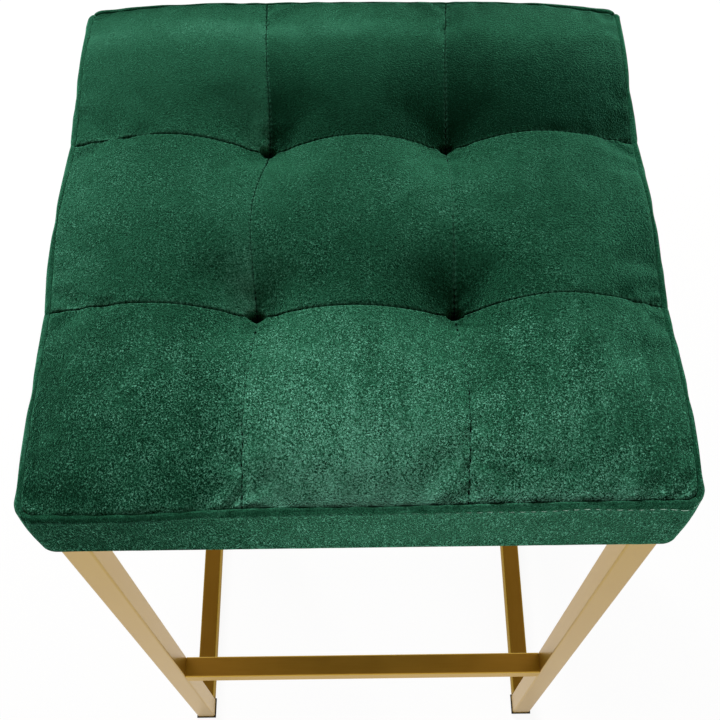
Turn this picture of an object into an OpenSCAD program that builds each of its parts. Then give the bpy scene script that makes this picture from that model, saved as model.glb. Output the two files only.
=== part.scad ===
// Backless counter stool: a tufted velvet seat on a sled frame of square steel tube.
// X runs left to right, Y from front to back, Z up. The origin is on the floor, under the middle.

/* [Frame] */
// Width over the legs
frame_w = 375; // [330:1:440]
// Depth over the legs
frame_d = 380; // [330:1:440]
// Height of the frame's top above the floor
frame_h = 627; // [560:1:760]
// Outside size of the square tube
tube = 19; // [16:0.5:25]
// Wall of the tube
tube_wall = 1.2; // [0.8:0.1:2]
// Outside corner radius of the tube
tube_r = 1.5; // [1.3:0.1:2.5]
// Height of the foot rail's top above the floor
foot_rail_top = 221; // [150:1:300]

/* [Floor glides] */
// Thickness of a glide's head, under the tube
glide_h = 3; // [2:0.5:5]
// How far a glide's head stands out past the tube
glide_lip = 1; // [0.5:0.1:1.5]
// Depth of the plug inside the tube
glide_plug_h = 14; // [8:1:20]
// Gap between the plug's ribs and the tube
glide_fit = 0.1; // [0.05:0.05:0.2]
// Thickness of a rib on the plug
glide_rib = 2.4; // [1.6:0.2:3]
// Chamfer round the glide's foot
glide_chamfer = 0.8; // [0.4:0.1:1.2]

/* [Seat fixing] */
// Side of a welded corner tab
tab_side = 48; // [40:1:60]
// Thickness of a tab
tab_t = 3; // [2:0.5:4]
// Width of the cut ends of a tab
tab_nose = 8; // [5:1:12]
// Distance of a screw from the two rails at its corner
screw_inset = 17; // [14:1:20]
// Diameter of a seat screw
screw_d = 6; // [5:0.5:6]
// Length of a seat screw under its head
screw_len = 16; // [14:1:18]
// Diameter of a screw's head
screw_head_d = 11.5; // [10:0.5:12]
// Height of a screw's head
screw_head_h = 3.6; // [3:0.2:4.4]
// Clearance round a screw in a plain hole
screw_clear = 0.5; // [0.3:0.1:0.8]
// Diameter of a washer
washer_d = 14; // [13:0.5:16]
// Thickness of a washer
washer_t = 1.4; // [1:0.2:2]

/* [Seat board] */
// Thickness of the plywood board
board_t = 12; // [12:0.5:18]
// How much rounder the board's corners are than the cushion's
board_ease = 3; // [2:0.5:6]
// Diameter of a tee nut's flange
nut_flange_d = 19; // [17:0.5:22]
// Thickness of a tee nut's flange
nut_flange_t = 1.5; // [1:0.1:2]
// Outside diameter of a tee nut's barrel
nut_barrel_d = 8; // [7.6:0.2:9]
// Length of a tee nut under its flange
nut_barrel_h = 8.5; // [7:0.5:9.5]

/* [Cushion] */
// How far the cushion stands out beyond the frame on each side
overhang = 8; // [5:0.5:14]
// Height of the edge seam above the frame, at its crests
band_h = 65; // [50:1:80]
// How far the edge seam lies inside the widest outline
seam_inset = 4; // [3:0.5:6]
// Height of the rounded shoulder under the edge seam
shoulder_h = 8; // [6:0.5:12]
// How far the middle of the band swells outwards
band_bulge = 1; // [0:0.2:2]
// Radius where the band turns under the board
hem_r = 6; // [4:0.5:8]
// Corner radius of the cushion seen from above
corner_r = 15; // [12:1:24]
// Thickness of the velvet with its backing
cover_t = 1.5; // [1:0.1:2]
// Gap between the cover and the foam, and at a seam
soft_gap = 0.3; // [0.2:0.1:0.5]
// How far the cover is turned in under the board
hem_w = 34; // [32:0.5:38]

/* [Tufting] */
// Distance between the two tufts of a row
tuft_pitch_x = 127; // [100:1:150]
// Distance between the two rows of tufts
tuft_pitch_y = 131.5; // [100:0.5:150]
// How far the rows' middle lies behind the seat's middle
tuft_shift_y = 5; // [0:0.5:12]
// Depth of a tuft below its seams
tuft_drop = 15; // [8:0.5:20]
// Reach of the pull round a tuft
tuft_reach = 14; // [8:0.5:20]
// Depth of a sewn seam below the crests of the edge
seam_drop = 5.5; // [3:0.5:8]
// Reach of the valley beside a seam
seam_reach = 22; // [12:1:30]
// Rise of a panel's middle over the edge's crests
puff_h = 3.5; // [2:0.5:8]
// Rise of the whole seat's middle
crown_h = 1.5; // [0:0.5:5]
// How far the sides draw in where a seam meets them
side_draw = 1.5; // [0:0.5:3]
// Diameter of the tufting twine
twine_d = 1.2; // [0.8:0.1:1.2]
// Length of twine stapled flat under the board
twine_tail = 18; // [10:1:30]
// Diameter of a twine hole in the board
twine_hole_d = 4; // [3:0.5:6]

/* [Underside] */
// Thickness of the dust cover
dust_t = 0.5; // [0.3:0.1:0.5]
// How far the dust cover stays inside the rails
dust_gap = 1; // [0.5:0.5:1.5]
// Staples along each side
staple_count = 7; // [4:1:9]
// Length of a staple's crown
staple_w = 10; // [8:0.5:12]
// Width of the staple wire
staple_wire = 1.2; // [1:0.1:1.4]
// Thickness of the staple wire
staple_t = 0.6; // [0.4:0.1:0.7]
// Depth of a staple's legs in the board
staple_leg = 7; // [5:0.5:8]

/* [Hidden] */

// The overrun of every cut
cut = 1;
// Number of sides of a round part
fine = 48;
// Colours of the finishes
gold = [0.79, 0.66, 0.44];
velvet = [0.08, 0.36, 0.26];

// Frame, worked out from the sizes above
leg_x = (frame_w - tube) / 2;
leg_y = (frame_d - tube) / 2;
leg_len = frame_h - glide_h;
rail_x_len = frame_w - 2 * tube;
rail_y_len = frame_d - 2 * tube;
floor_rail_z = glide_h + tube / 2;
foot_rail_z = foot_rail_top - tube / 2;
seat_rail_z = frame_h - tube / 2;
bore = tube - 2 * tube_wall;

// Layers under the seat, from the frame's top upwards
tab_top = frame_h - dust_t;
board_z = frame_h + cover_t;
board_top = board_z + board_t;

// Screws
screw_x = frame_w / 2 - tube - screw_inset;
screw_y = frame_d / 2 - tube - screw_inset;
screw_seat_z = tab_top - tab_t - washer_t;
thread_clear = 0.1;
recess_w = 1.4;
recess_len = 6;
recess_h = 2;

// Tee nuts
nut_fit = 0.2;
prong_h = 4;
prong_t = 0.8;
prong_w = 3;
prong_ring_r = nut_flange_d / 2 - prong_t;

// Staples lie midway between the hem's raw edge and the dust cover's edge
staple_line = (hem_w - overhang + tube + dust_gap) / 2;
staple_fit = 0.1;

// Cushion outline at its widest, and at the board
seat_hw = frame_w / 2 + overhang;
seat_hd = frame_d / 2 + overhang;
board_w = 2 * (seat_hw - hem_r);
board_d = 2 * (seat_hd - hem_r);
board_r = corner_r + board_ease;
edge_z = frame_h + band_h;

// Tuft places
tuft_x = tuft_pitch_x / 2;
tuft_y_front = tuft_shift_y - tuft_pitch_y / 2;
tuft_y_rear = tuft_shift_y + tuft_pitch_y / 2;
tufts = [for (x = [-tuft_x, tuft_x], y = [tuft_y_front, tuft_y_rear]) [x, y]];

// The top is a grid of three panels each way, with this many cells to a panel
cells = 8;
last = 3 * cells;
stations = 4 * last;
// Shapes of the puffed panel and of the dimple, as exponents
puff_share = 0.55;
dip_share = 0.8;
// Marks of the panel seams, as shares of the half width and half depth at the edge seam
seam_hw = seat_hw - seam_inset;
seam_hd = seat_hd - seam_inset;
mark_u_shares = [-1, -tuft_x / seam_hw, tuft_x / seam_hw, 1];
mark_v_shares = [-1, tuft_y_front / seam_hd, tuft_y_rear / seam_hd, 1];

// A grid line's place in its own panel, from 0 to 1, closer together beside the seams
function panel_of(i) = min(2, floor(i / cells));
function place(i) = (1 - cos(180 * (i - panel_of(i) * cells) / cells)) / 2;
function spread(i, marks) = let (p = panel_of(i)) marks[p] + (marks[p + 1] - marks[p]) * place(i);

// A point of the unit square laid on a rectangle with rounded corners
function rounded(u, v, hx, hy, r) =
    let (a = (abs(hx * u) - hx + r) / r, b = (abs(hy * v) - hy + r) / r)
    (a > 0 && b > 0)
        ? [sign(u) * (hx - r + r * a * sqrt(1 - b * b / 2)), sign(v) * (hy - r + r * b * sqrt(1 - a * a / 2))]
        : [hx * u, hy * v];

// Valley beside the nearest seam, 1 on the seam and falling to 0 away from it
function valley(d) = exp(-abs(d) / seam_reach);
function row_valley(y) = max(valley(y - tuft_y_front), valley(y - tuft_y_rear));
function column_valley(x) = max(valley(x - tuft_x), valley(x + tuft_x));
function dimple(x, y) = max([for (t = tufts) exp(-pow(norm([x, y] - t) / tuft_reach, dip_share))]);
function puff(t) = pow(4 * t * (1 - t), puff_share);

// Height of the velvet at a grid point of the top
function top_z(i, j) =
    let (u = spread(i, mark_u_shares), v = spread(j, mark_v_shares))
    let (p = rounded(u, v, seam_hw, seam_hd, corner_r))
    edge_z + crown_h * (1 - u * u) * (1 - v * v) + puff_h * puff(place(i)) * puff(place(j))
        - seam_drop * max(row_valley(p.y), column_valley(p.x)) - tuft_drop * dimple(p.x, p.y);

// A grid point of the top, drawn in by inset and lowered by drop
function top_point(i, j, inset, drop) =
    let (u = spread(i, mark_u_shares), v = spread(j, mark_v_shares))
    let (draw = side_draw * edge_valley(i, j))
    let (p = rounded(u, v, seam_hw - inset - draw, seam_hd - inset - draw, corner_r))
    [p.x, p.y, top_z(i, j) - drop];

// How far a grid point feels the seam that meets the edge beside it
function edge_valley(i, j) =
    let (u = spread(i, mark_u_shares), v = spread(j, mark_v_shares))
    max(pow(abs(u), 4) * row_valley(v * seam_hd), pow(abs(v), 4) * column_valley(u * seam_hw));

// Stations go round the edge, front, right, rear and left
function station(s) =
    let (q = s % stations)
    q < last ? [q, 0] : q < 2 * last ? [last, q - last] : q < 3 * last ? [3 * last - q, last] : [0, 4 * last - q];

// A point of the band: its inset, its height, and how much of the edge's waves it keeps
function band_point(s, level) =
    let (g = station(s), u = spread(g[0], mark_u_shares), v = spread(g[1], mark_v_shares))
    let (inset = level[0] + side_draw * level[2] * edge_valley(g[0], g[1]))
    let (p = rounded(u, v, seat_hw - inset, seat_hd - inset, corner_r))
    [p.x, p.y, level[1] + level[2] * (top_z(g[0], g[1]) - edge_z)];

// The band's section at depth t under the velvet's face, from the edge seam down and round the hem
function shoulder(a, t) =
    [seam_inset - (seam_inset - t) * sin(a), edge_z - shoulder_h + (shoulder_h - t) * cos(a), 1 - a / 360];
function hem(a, t) = [hem_r - (hem_r - t) * cos(a), frame_h + hem_r - (hem_r - t) * sin(a), 0];
belly_z = frame_h + band_h / 2;
function band_section(t) = concat(
    [for (a = [0, 45, 90]) shoulder(a, t)],
    [[t - band_bulge, belly_z, 0.4]],
    [for (a = [0, 45, 90]) hem(a, t)],
    [[hem_w, frame_h + t, 0]]
);

// Triangles of a strip of quads between two rows of points
function quad(a, b, c, d) = [[a, b, c], [a, c, d]];

// A square tube along Z, standing on its end
module rounded_square(side, r) {
    inner = side / 2 - r;
    square([side, 2 * inner], center = true);
    square([2 * inner, side], center = true);
    for (x = [-inner, inner], y = [-inner, inner]) translate([x, y]) circle(r = r, $fn = fine);
}
module tube_z(len) {
    color(gold) linear_extrude(height = len) difference() {
        rounded_square(tube, tube_r);
        rounded_square(bore, tube_r - tube_wall);
    }
}

module leg(side, end) {
    translate([side * leg_x, end * leg_y, glide_h]) tube_z(leg_len);
}
module rail_along_y(side, z) {
    translate([side * leg_x, rail_y_len / 2, z]) rotate([90, 0, 0]) tube_z(rail_y_len);
}
module rail_along_x(end, z) {
    translate([-rail_x_len / 2, end * leg_y, z]) rotate([0, 90, 0]) tube_z(rail_x_len);
}

// A welded corner tab, with its acute ends cut off, and a plain hole for the seat screw
module tab(side, end) {
    color(gold)
        translate([side * (frame_w / 2 - tube), end * (frame_d / 2 - tube), tab_top - tab_t])
            mirror([side > 0 ? 1 : 0, 0, 0]) mirror([0, end > 0 ? 1 : 0, 0])
                difference() {
                    linear_extrude(height = tab_t) polygon([
                        [0, 0], [tab_side, 0], [tab_side, tab_nose], [tab_nose, tab_side], [0, tab_side]
                    ]);
                    translate([screw_inset, screw_inset, -cut])
                        cylinder(d = screw_d + screw_clear, h = tab_t + 2 * cut, $fn = fine);
                }
}

// A moulded glide: a chamfered head under the tube and a ribbed plug inside it
module glide(side, end) {
    head = tube + 2 * glide_lip;
    plug = bore - 2 * glide_fit;
    color([0.06, 0.06, 0.06]) translate([side * leg_x, end * leg_y, 0]) {
        hull() {
            linear_extrude(height = glide_chamfer / 2) square(head - 2 * glide_chamfer, center = true);
            translate([0, 0, glide_chamfer]) linear_extrude(height = glide_h - glide_chamfer)
                square(head, center = true);
        }
        translate([0, 0, glide_h]) linear_extrude(height = glide_plug_h) {
            square([plug, glide_rib], center = true);
            square([glide_rib, plug], center = true);
            difference() {
                square(plug - 2 * glide_rib, center = true);
                square(plug - 4 * glide_rib, center = true);
            }
        }
    }
}

module at_screws() {
    for (x = [-screw_x, screw_x], y = [-screw_y, screw_y]) translate([x, y, 0]) children();
}

// Pan head machine screws, driven up from below
module seat_screws() {
    color("silver") at_screws() translate([0, 0, screw_seat_z]) {
        cylinder(d = screw_d, h = screw_len, $fn = fine);
        difference() {
            mirror([0, 0, 1]) rotate_extrude($fn = fine) polygon([
                [0, 0], [screw_head_d / 2, 0], [screw_head_d / 2, 0.45 * screw_head_h],
                [0.4 * screw_head_d, 0.85 * screw_head_h], [0.25 * screw_head_d, screw_head_h], [0, screw_head_h]
            ]);
            for (turn = [0, 90]) rotate(turn)
                translate([-recess_len / 2, -recess_w / 2, -screw_head_h - cut])
                    cube([recess_len, recess_w, recess_h + cut]);
        }
    }
}

module seat_washers() {
    color("silver") at_screws() translate([0, 0, screw_seat_z]) difference() {
        cylinder(d = washer_d, h = washer_t, $fn = fine);
        translate([0, 0, -cut]) cylinder(d = screw_d + screw_clear, h = washer_t + 2 * cut, $fn = fine);
    }
}

// The four prongs of a tee nut, or their slots in the board
module prongs(grow) {
    for (turn = [45 : 90 : 315]) rotate(turn)
        translate([prong_ring_r - prong_t - grow, -prong_w / 2 - grow, board_top - nut_flange_t - prong_h - grow])
            cube([prong_t + 2 * grow, prong_w + 2 * grow, prong_h + grow]);
}

module tee_nuts() {
    color("silver") at_screws() {
        difference() {
            union() {
                translate([0, 0, board_top - nut_flange_t]) cylinder(d = nut_flange_d, h = nut_flange_t, $fn = fine);
                translate([0, 0, board_top - nut_flange_t - nut_barrel_h])
                    cylinder(d = nut_barrel_d, h = nut_barrel_h + nut_flange_t / 2, $fn = fine);
            }
            translate([0, 0, board_z])
                cylinder(d = screw_d + 2 * thread_clear, h = board_t + cut, $fn = fine);
        }
        prongs(0);
    }
}

module seat_board() {
    color("burlywood") difference() {
        translate([0, 0, board_z]) linear_extrude(height = board_t) {
            square([board_w, board_d - 2 * board_r], center = true);
            square([board_w - 2 * board_r, board_d], center = true);
            for (x = [-1, 1], y = [-1, 1])
                translate([x * (board_w / 2 - board_r), y * (board_d / 2 - board_r)]) circle(r = board_r, $fn = fine);
        }
        at_screws() {
            translate([0, 0, board_z - cut])
                cylinder(d = nut_barrel_d + 2 * nut_fit, h = board_t + 2 * cut, $fn = fine);
            translate([0, 0, board_top - nut_flange_t - nut_fit])
                cylinder(d = nut_flange_d + 2 * nut_fit, h = nut_flange_t + nut_fit + cut, $fn = fine);
            prongs(nut_fit);
        }
        for (t = tufts) translate([t.x, t.y, board_z - cut])
            cylinder(d = twine_hole_d, h = board_t + 2 * cut, $fn = fine);
        for (side = [0 : 3]) at_staples(side) staple_legs(staple_fit);
    }
}

// The quilted top: the grid's upper face and the same face one cover thickness lower
module quilted_top_panel() {
    side = last + 1;
    upper = [for (j = [0 : last], i = [0 : last]) top_point(i, j, soft_gap, 0)];
    lower = [for (j = [0 : last], i = [0 : last]) top_point(i, j, soft_gap, cover_t)];
    count = len(upper);
    function at(i, j) = j * side + i;
    function rim(s) = let (g = station(s)) at(g[0], g[1]);
    faces = concat(
        [for (j = [0 : last - 1], i = [0 : last - 1])
            each quad(at(i, j), at(i, j + 1), at(i + 1, j + 1), at(i + 1, j))],
        [for (j = [0 : last - 1], i = [0 : last - 1])
            each quad(count + at(i, j), count + at(i + 1, j), count + at(i + 1, j + 1), count + at(i, j + 1))],
        [for (s = [0 : stations - 1])
            each quad(rim(s), rim(s + 1), count + rim(s + 1), count + rim(s))]
    );
    color(velvet) polyhedron(points = concat(upper, lower), faces = faces);
}

// One strip of the band, between two corner seams: outer face, inner face, rims and ends
module band_strip(first) {
    outer = band_section(0);
    inner = band_section(cover_t);
    levels = len(outer);
    along = [[1, 0, 0], [0, 1, 0], [-1, 0, 0], [0, -1, 0]][first];
    function shift(n) = (n == 0 ? 1 : n == last ? -1 : 0) * soft_gap / 2 * along;
    function row(n) = concat(
        [for (l = outer) band_point(first * last + n, l) + shift(n)],
        [for (k = [levels - 1 : -1 : 0]) band_point(first * last + n, inner[k]) + shift(n)]
    );
    ring = 2 * levels;
    points = [for (n = [0 : last]) each row(n)];
    faces = concat(
        [for (n = [0 : last - 1], k = [0 : ring - 1])
            each quad(n * ring + k, (n + 1) * ring + k, (n + 1) * ring + (k + 1) % ring, n * ring + (k + 1) % ring)],
        [for (k = [0 : levels - 2]) each quad(k, k + 1, ring - 2 - k, ring - 1 - k)],
        [for (k = [0 : levels - 2])
            each quad(last * ring + k, last * ring + ring - 1 - k, last * ring + ring - 2 - k, last * ring + k + 1)]
    );
    color(velvet) difference() {
        polyhedron(points = points, faces = faces);
        at_staples(first) staple_legs(staple_fit);
    }
}

// The foam: a puffed block that laps down round the board's edge, with a channel under each tuft
module foam_core() {
    depth = cover_t + soft_gap;
    side = last + 1;
    upper = [for (j = [0 : last], i = [0 : last]) top_point(i, j, soft_gap, depth + soft_gap)];
    count = len(upper);
    lap_z = frame_h + hem_r;
    levels = [
        shoulder(60, depth),
        [depth - band_bulge, belly_z, 0.4],
        [depth, lap_z, 0],
        [hem_r - soft_gap, lap_z, 0],
        [hem_r - soft_gap, board_top, 0]
    ];
    rings = [for (l = levels, s = [0 : stations - 1]) band_point(s, l)];
    points = concat(upper, rings, [[0, 0, board_top]]);
    function at(i, j) = j * side + i;
    function rim(s) = let (g = station(s)) at(g[0], g[1]);
    function ring_at(k, s) = k < 0 ? rim(s) : count + k * stations + s % stations;
    faces = concat(
        [for (j = [0 : last - 1], i = [0 : last - 1])
            each quad(at(i, j), at(i, j + 1), at(i + 1, j + 1), at(i + 1, j))],
        [for (k = [0 : len(levels) - 1], s = [0 : stations - 1])
            each quad(ring_at(k - 1, s), ring_at(k - 1, s + 1), ring_at(k, s + 1), ring_at(k, s))],
        [for (s = [0 : stations - 1])
            [ring_at(len(levels) - 1, s), ring_at(len(levels) - 1, s + 1), len(points) - 1]]
    );
    color("khaki") difference() {
        polyhedron(points = points, faces = faces);
        for (t = tufts) translate([t.x, t.y, board_top - cut])
            cylinder(d = twine_d + 4 * soft_gap, h = band_h, $fn = fine);
    }
}

// Twine from each tuft down through the foam and board, with a tail flat under the board
module tuft_twines() {
    tuft_z = top_z(cells, cells) - cover_t - soft_gap;
    tail_z = frame_h + cover_t / 2;
    color("ivory") for (t = tufts) translate([t.x, t.y, tail_z]) {
        cylinder(d = twine_d, h = tuft_z - tail_z, $fn = fine);
        sphere(d = twine_d, $fn = fine);
        rotate([0, -90 * sign(t.x), 0]) cylinder(d = twine_d, h = twine_tail, $fn = fine);
    }
}

module dust_cover() {
    w = frame_w - 2 * tube - 2 * dust_gap;
    d = frame_d - 2 * tube - 2 * dust_gap;
    color([0.1, 0.1, 0.1]) difference() {
        translate([-w / 2, -d / 2, frame_h - dust_t]) cube([w, d, dust_t]);
        at_screws() translate([0, 0, frame_h - dust_t - cut])
            cylinder(d = screw_d + screw_clear, h = dust_t + 2 * cut, $fn = fine);
        for (side = [0 : 3]) at_staples(side) staple_legs(staple_fit);
    }
}

// Crown staples through the dust cover and the hem into the board, clear of the corner tabs
module at_staples(side) {
    across = side % 2 == 0 ? frame_w : frame_d;
    reach = (side % 2 == 0 ? frame_d : frame_w) / 2 - staple_line;
    half_span = across / 2 - tube - tab_side - staple_w;
    rotate(90 * side) for (n = [0 : staple_count - 1])
        translate([half_span * (2 * n / (staple_count - 1) - 1), -reach, frame_h - dust_t]) children();
}
module staple_legs(grow) {
    for (x = [-staple_w / 2, staple_w / 2 - staple_t])
        translate([x - grow, -staple_wire / 2 - grow, -grow])
            cube([staple_t + 2 * grow, staple_wire + 2 * grow, dust_t + cover_t + staple_leg + 2 * grow]);
}
module seat_staples() {
    color("silver") for (side = [0 : 3]) at_staples(side) {
        translate([-staple_w / 2, -staple_wire / 2, -staple_t]) cube([staple_w, staple_wire, staple_t]);
        staple_legs(0);
    }
}

leg(-1, -1);  // left_front_leg
leg(1, -1);  // right_front_leg
leg(-1, 1);  // left_rear_leg
leg(1, 1);  // right_rear_leg
rail_along_y(-1, floor_rail_z);  // left_floor_rail
rail_along_y(1, floor_rail_z);  // right_floor_rail
rail_along_x(-1, foot_rail_z);  // front_foot_rail
rail_along_x(1, foot_rail_z);  // rear_stretcher
rail_along_y(-1, seat_rail_z);  // left_seat_rail
rail_along_y(1, seat_rail_z);  // right_seat_rail
rail_along_x(-1, seat_rail_z);  // front_seat_rail
rail_along_x(1, seat_rail_z);  // rear_seat_rail
tab(-1, -1);  // front_left_tab
tab(1, -1);  // front_right_tab
tab(-1, 1);  // rear_left_tab
tab(1, 1);  // rear_right_tab
glide(-1, -1);  // front_left_glide
glide(1, -1);  // front_right_glide
glide(-1, 1);  // rear_left_glide
glide(1, 1);  // rear_right_glide
seat_screws();
seat_washers();
tee_nuts();
seat_board();
foam_core();
tuft_twines();
quilted_top_panel();
band_strip(0);  // front_band_strip
band_strip(1);  // right_band_strip
band_strip(2);  // rear_band_strip
band_strip(3);  // left_band_strip
dust_cover();
seat_staples();
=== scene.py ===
# %% [markdown]
# # A tufted counter stool
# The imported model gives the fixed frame: square tube legs and rails, glides, board, screws and a
# plain version of the cushion. This lesson dresses it. The metal, wood and plastic solids keep their
# shape and get a finish each. The velvet, foam, twine and dust cover are made again with finer forms,
# because soft goods need seams, stitches and folds that a plain solid leaves out.

import math
from functools import partialmethod

import bpy
import numpy as np
from mathutils import Matrix, Vector


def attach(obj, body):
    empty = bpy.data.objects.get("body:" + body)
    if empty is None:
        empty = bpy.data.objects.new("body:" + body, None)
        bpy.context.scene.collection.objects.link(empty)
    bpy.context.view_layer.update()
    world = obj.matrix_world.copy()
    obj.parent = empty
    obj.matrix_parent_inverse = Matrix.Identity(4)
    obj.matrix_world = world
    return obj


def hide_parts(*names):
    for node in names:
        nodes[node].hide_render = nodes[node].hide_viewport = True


MM = 0.001
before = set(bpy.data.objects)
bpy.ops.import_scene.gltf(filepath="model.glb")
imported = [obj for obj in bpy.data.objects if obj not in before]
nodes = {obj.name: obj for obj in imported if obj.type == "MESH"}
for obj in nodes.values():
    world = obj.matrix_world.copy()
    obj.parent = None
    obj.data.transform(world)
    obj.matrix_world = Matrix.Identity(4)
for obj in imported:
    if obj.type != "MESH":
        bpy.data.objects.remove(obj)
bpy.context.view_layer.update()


def new_object(name, data):
    made = bpy.data.objects.new(name, data)
    bpy.context.scene.collection.objects.link(made)
    return made


def new_mesh(name, points, faces, edges=()):
    """A mesh from points in millimetres."""
    mesh = bpy.data.meshes.new(name)
    mesh.from_pydata((np.asarray(points, float) * MM).tolist(), edges, faces)
    return mesh


# %% [markdown]
# ## The camera
# The picture was taken from in front of the stool and steeply above it, with a slight roll. The angles
# and the place come from the vanishing points of the legs, the floor rails and the foot rail. A lens of
# about 53 mm on a square 36 mm frame gives the same convergence.

# %% Place the camera
PITCH, YAW, ROLL = (math.radians(angle) for angle in (62.009, -0.219, 0.965))
CAMERA_PLACE = Vector((0.00337, -0.3971, 1.24813))
forward = Vector((math.sin(YAW) * math.cos(PITCH), math.cos(YAW) * math.cos(PITCH), -math.sin(PITCH)))
level = Vector((math.cos(YAW), -math.sin(YAW), 0))
down = forward.cross(level)
image_right = math.cos(ROLL) * level + math.sin(ROLL) * down
image_up = math.sin(ROLL) * level - math.cos(ROLL) * down
camera_data = bpy.data.cameras.new("stool_camera")
camera_data.lens = 52.84
camera_data.sensor_width = 36
camera_data.sensor_fit = "HORIZONTAL"
camera_data.clip_start = 0.01
camera = new_object("stool_camera", camera_data)
turn = Matrix((image_right, image_up, -forward)).transposed().to_4x4()
camera.matrix_world = Matrix.Translation(CAMERA_PLACE) @ turn
bpy.context.scene.camera = camera
bpy.context.scene.view_settings.view_transform = "Standard"
print("camera", [round(value, 3) for value in camera.matrix_world.translation])

# %% [markdown]
# ## Node boards
# Every finish and every repeated form below is a node tree. One small board class places a node from
# its type, its settings and its socket values. Its outputs are wires, and arithmetic on a wire adds the
# Math node for it, so a pattern reads like the formula that it is.

# %% A board of nodes and its wires


class Wire:
    """One output socket. Sums and products on it become Math nodes."""

    def __init__(self, board, socket):
        self.board = board
        self.socket = socket

    def maths(self, operation, *others):
        values = dict(enumerate((self, *others)))
        return self.board.add("ShaderNodeMath", values, operation=operation)

    __add__ = partialmethod(maths, "ADD")
    __sub__ = partialmethod(maths, "SUBTRACT")
    __mul__ = partialmethod(maths, "MULTIPLY")
    __truediv__ = partialmethod(maths, "DIVIDE")
    most = partialmethod(maths, "MAXIMUM")

    def __rsub__(self, other):
        return self * -1.0 + other

    def falloff(self, reach):
        """1 where this number is 0, falling in a bell shape as it passes reach."""
        scaled = self / reach
        return (scaled * scaled * -1.0).maths("EXPONENT")

    def wave(self):
        """A wave from 0 to 1 and back for each whole number, 1 at the whole numbers."""
        return (self * math.tau).maths("COSINE") * 0.5 + 0.5


class Board:
    """A node tree that is being laid out."""

    def __init__(self, tree):
        self.tree = tree
        tree.nodes.clear()

    def add(self, kind, values=None, out=0, **settings):
        """A new node. values go to its sockets, settings to the node itself."""
        node = self.tree.nodes.new(kind)
        for key, value in settings.items():
            setattr(node, key, value)
        for key, value in (values or {}).items():
            if isinstance(value, Wire):
                self.tree.links.new(value.socket, node.inputs[key])
            else:
                node.inputs[key].default_value = value
        return Wire(self, node.outputs[out]) if len(node.outputs) else None

    def axis(self, vector, letter):
        return self.add("ShaderNodeSeparateXYZ", {"Vector": vector}, letter)

    def fact(self, name):
        """A number that the mesh carries at its points."""
        return self.add("ShaderNodeAttribute", out="Fac", attribute_name=name)

    def ramp(self, factor, *stops):
        wire = self.add("ShaderNodeValToRGB", {"Fac": factor})
        elements = wire.socket.node.color_ramp.elements
        while len(elements) < len(stops):
            elements.new(1.0)
        for element, (place, colour) in zip(elements, stops):
            element.position = place
            element.color = (*colour, 1.0)
        return wire

    def tint(self, factor, first, second):
        """Two colours mixed, sockets by number because a Mix node names all its kinds alike."""
        values = {0: factor, 6: first, 7: second}
        return self.add("ShaderNodeMix", values, 2, data_type="RGBA", clamp_factor=True)

    def step(self, value, start, end):
        """0 before start, 1 after end, smooth between them."""
        values = {"Value": value, "From Min": start, "From Max": end}
        return self.add("ShaderNodeMapRange", values, interpolation_type="SMOOTHSTEP")

    def noise(self, place, scale, detail=3.0, roughness=0.5, distortion=0.0, stretch=None):
        if stretch:
            place = self.add("ShaderNodeMapping", {"Vector": place, "Scale": stretch})
        values = {"Vector": place, "Scale": scale, "Detail": detail, "Roughness": roughness}
        return self.add("ShaderNodeTexNoise", {**values, "Distortion": distortion})

    def cells(self, place, scale, randomness=1.0, **settings):
        values = {"Vector": place, "Scale": scale, "Randomness": randomness}
        return self.add("ShaderNodeTexVoronoi", values, **settings)

    def bump(self, height, strength, distance, normal=None):
        values = {"Height": height, "Strength": strength, "Distance": distance}
        return self.add("ShaderNodeBump", {**values, "Normal": normal} if normal else values)

    def show(self, shader):
        self.add("ShaderNodeOutputMaterial", {"Surface": shader})

    def dress(self, colour, rough, normal=None, others=None):
        """The shader of a finish, from its colour and roughness and what else it needs."""
        values = {"Base Color": colour, "Roughness": rough, **(others or {})}
        if normal:
            values["Normal"] = normal
        self.show(self.add("ShaderNodeBsdfPrincipled", values))


def new_finish(name, rule, *details):
    """A new material. The rule lays it out on a board, from the wire of Object coordinates."""
    material = bpy.data.materials.new(name)
    material.use_nodes = True
    board = Board(material.node_tree)
    rule(board, board.add("ShaderNodeTexCoord", out="Object"), *details)
    return material


print("boards ready")

# %% [markdown]
# ## The studio
# A plain pale floor, a white horizon that darkens overhead, and soft lamps. Velvet shows its folds only
# when the light comes from one side, so the strongest lamp stands behind the stool on its left, and a
# weaker one fills from the front. The dim ceiling matters for the metal: every upward face of the
# tubes mirrors it and goes brown, while the faces of the legs mirror the pale floor and stay light.

# %% Floor and surroundings
FLOOR_TINT = (0.86, 0.86, 0.86, 1.0)
WHITE = (1.0, 1.0, 1.0, 1.0)
CEILING = (0.44, 0.285, 0.20, 1.0)
FLOOR_REACH, FLOOR_Z = 6000.0, -0.4
# Between these heights of the sky, 0 level and 1 overhead, the white turns to the colour of the ceiling
HORIZON, OVERHEAD = 0.30, 0.80
# How strong the surroundings are as a light, as a share of how strong they look
AMBIENT = 0.28
# How much of the floor glows by itself, looked at straight and in a mirror
GLOW_STRAIGHT, GLOW_MIRRORED = 0.92, 0.60


def seen_rays(board):
    """1 for rays that look at the surroundings, straight or through a mirror or glass."""
    straight, glossy, through_glass = (
        board.add("ShaderNodeLightPath", out=name)
        for name in ("Is Camera Ray", "Is Glossy Ray", "Is Transmission Ray"))
    return straight.most(glossy).most(through_glass)


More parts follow.
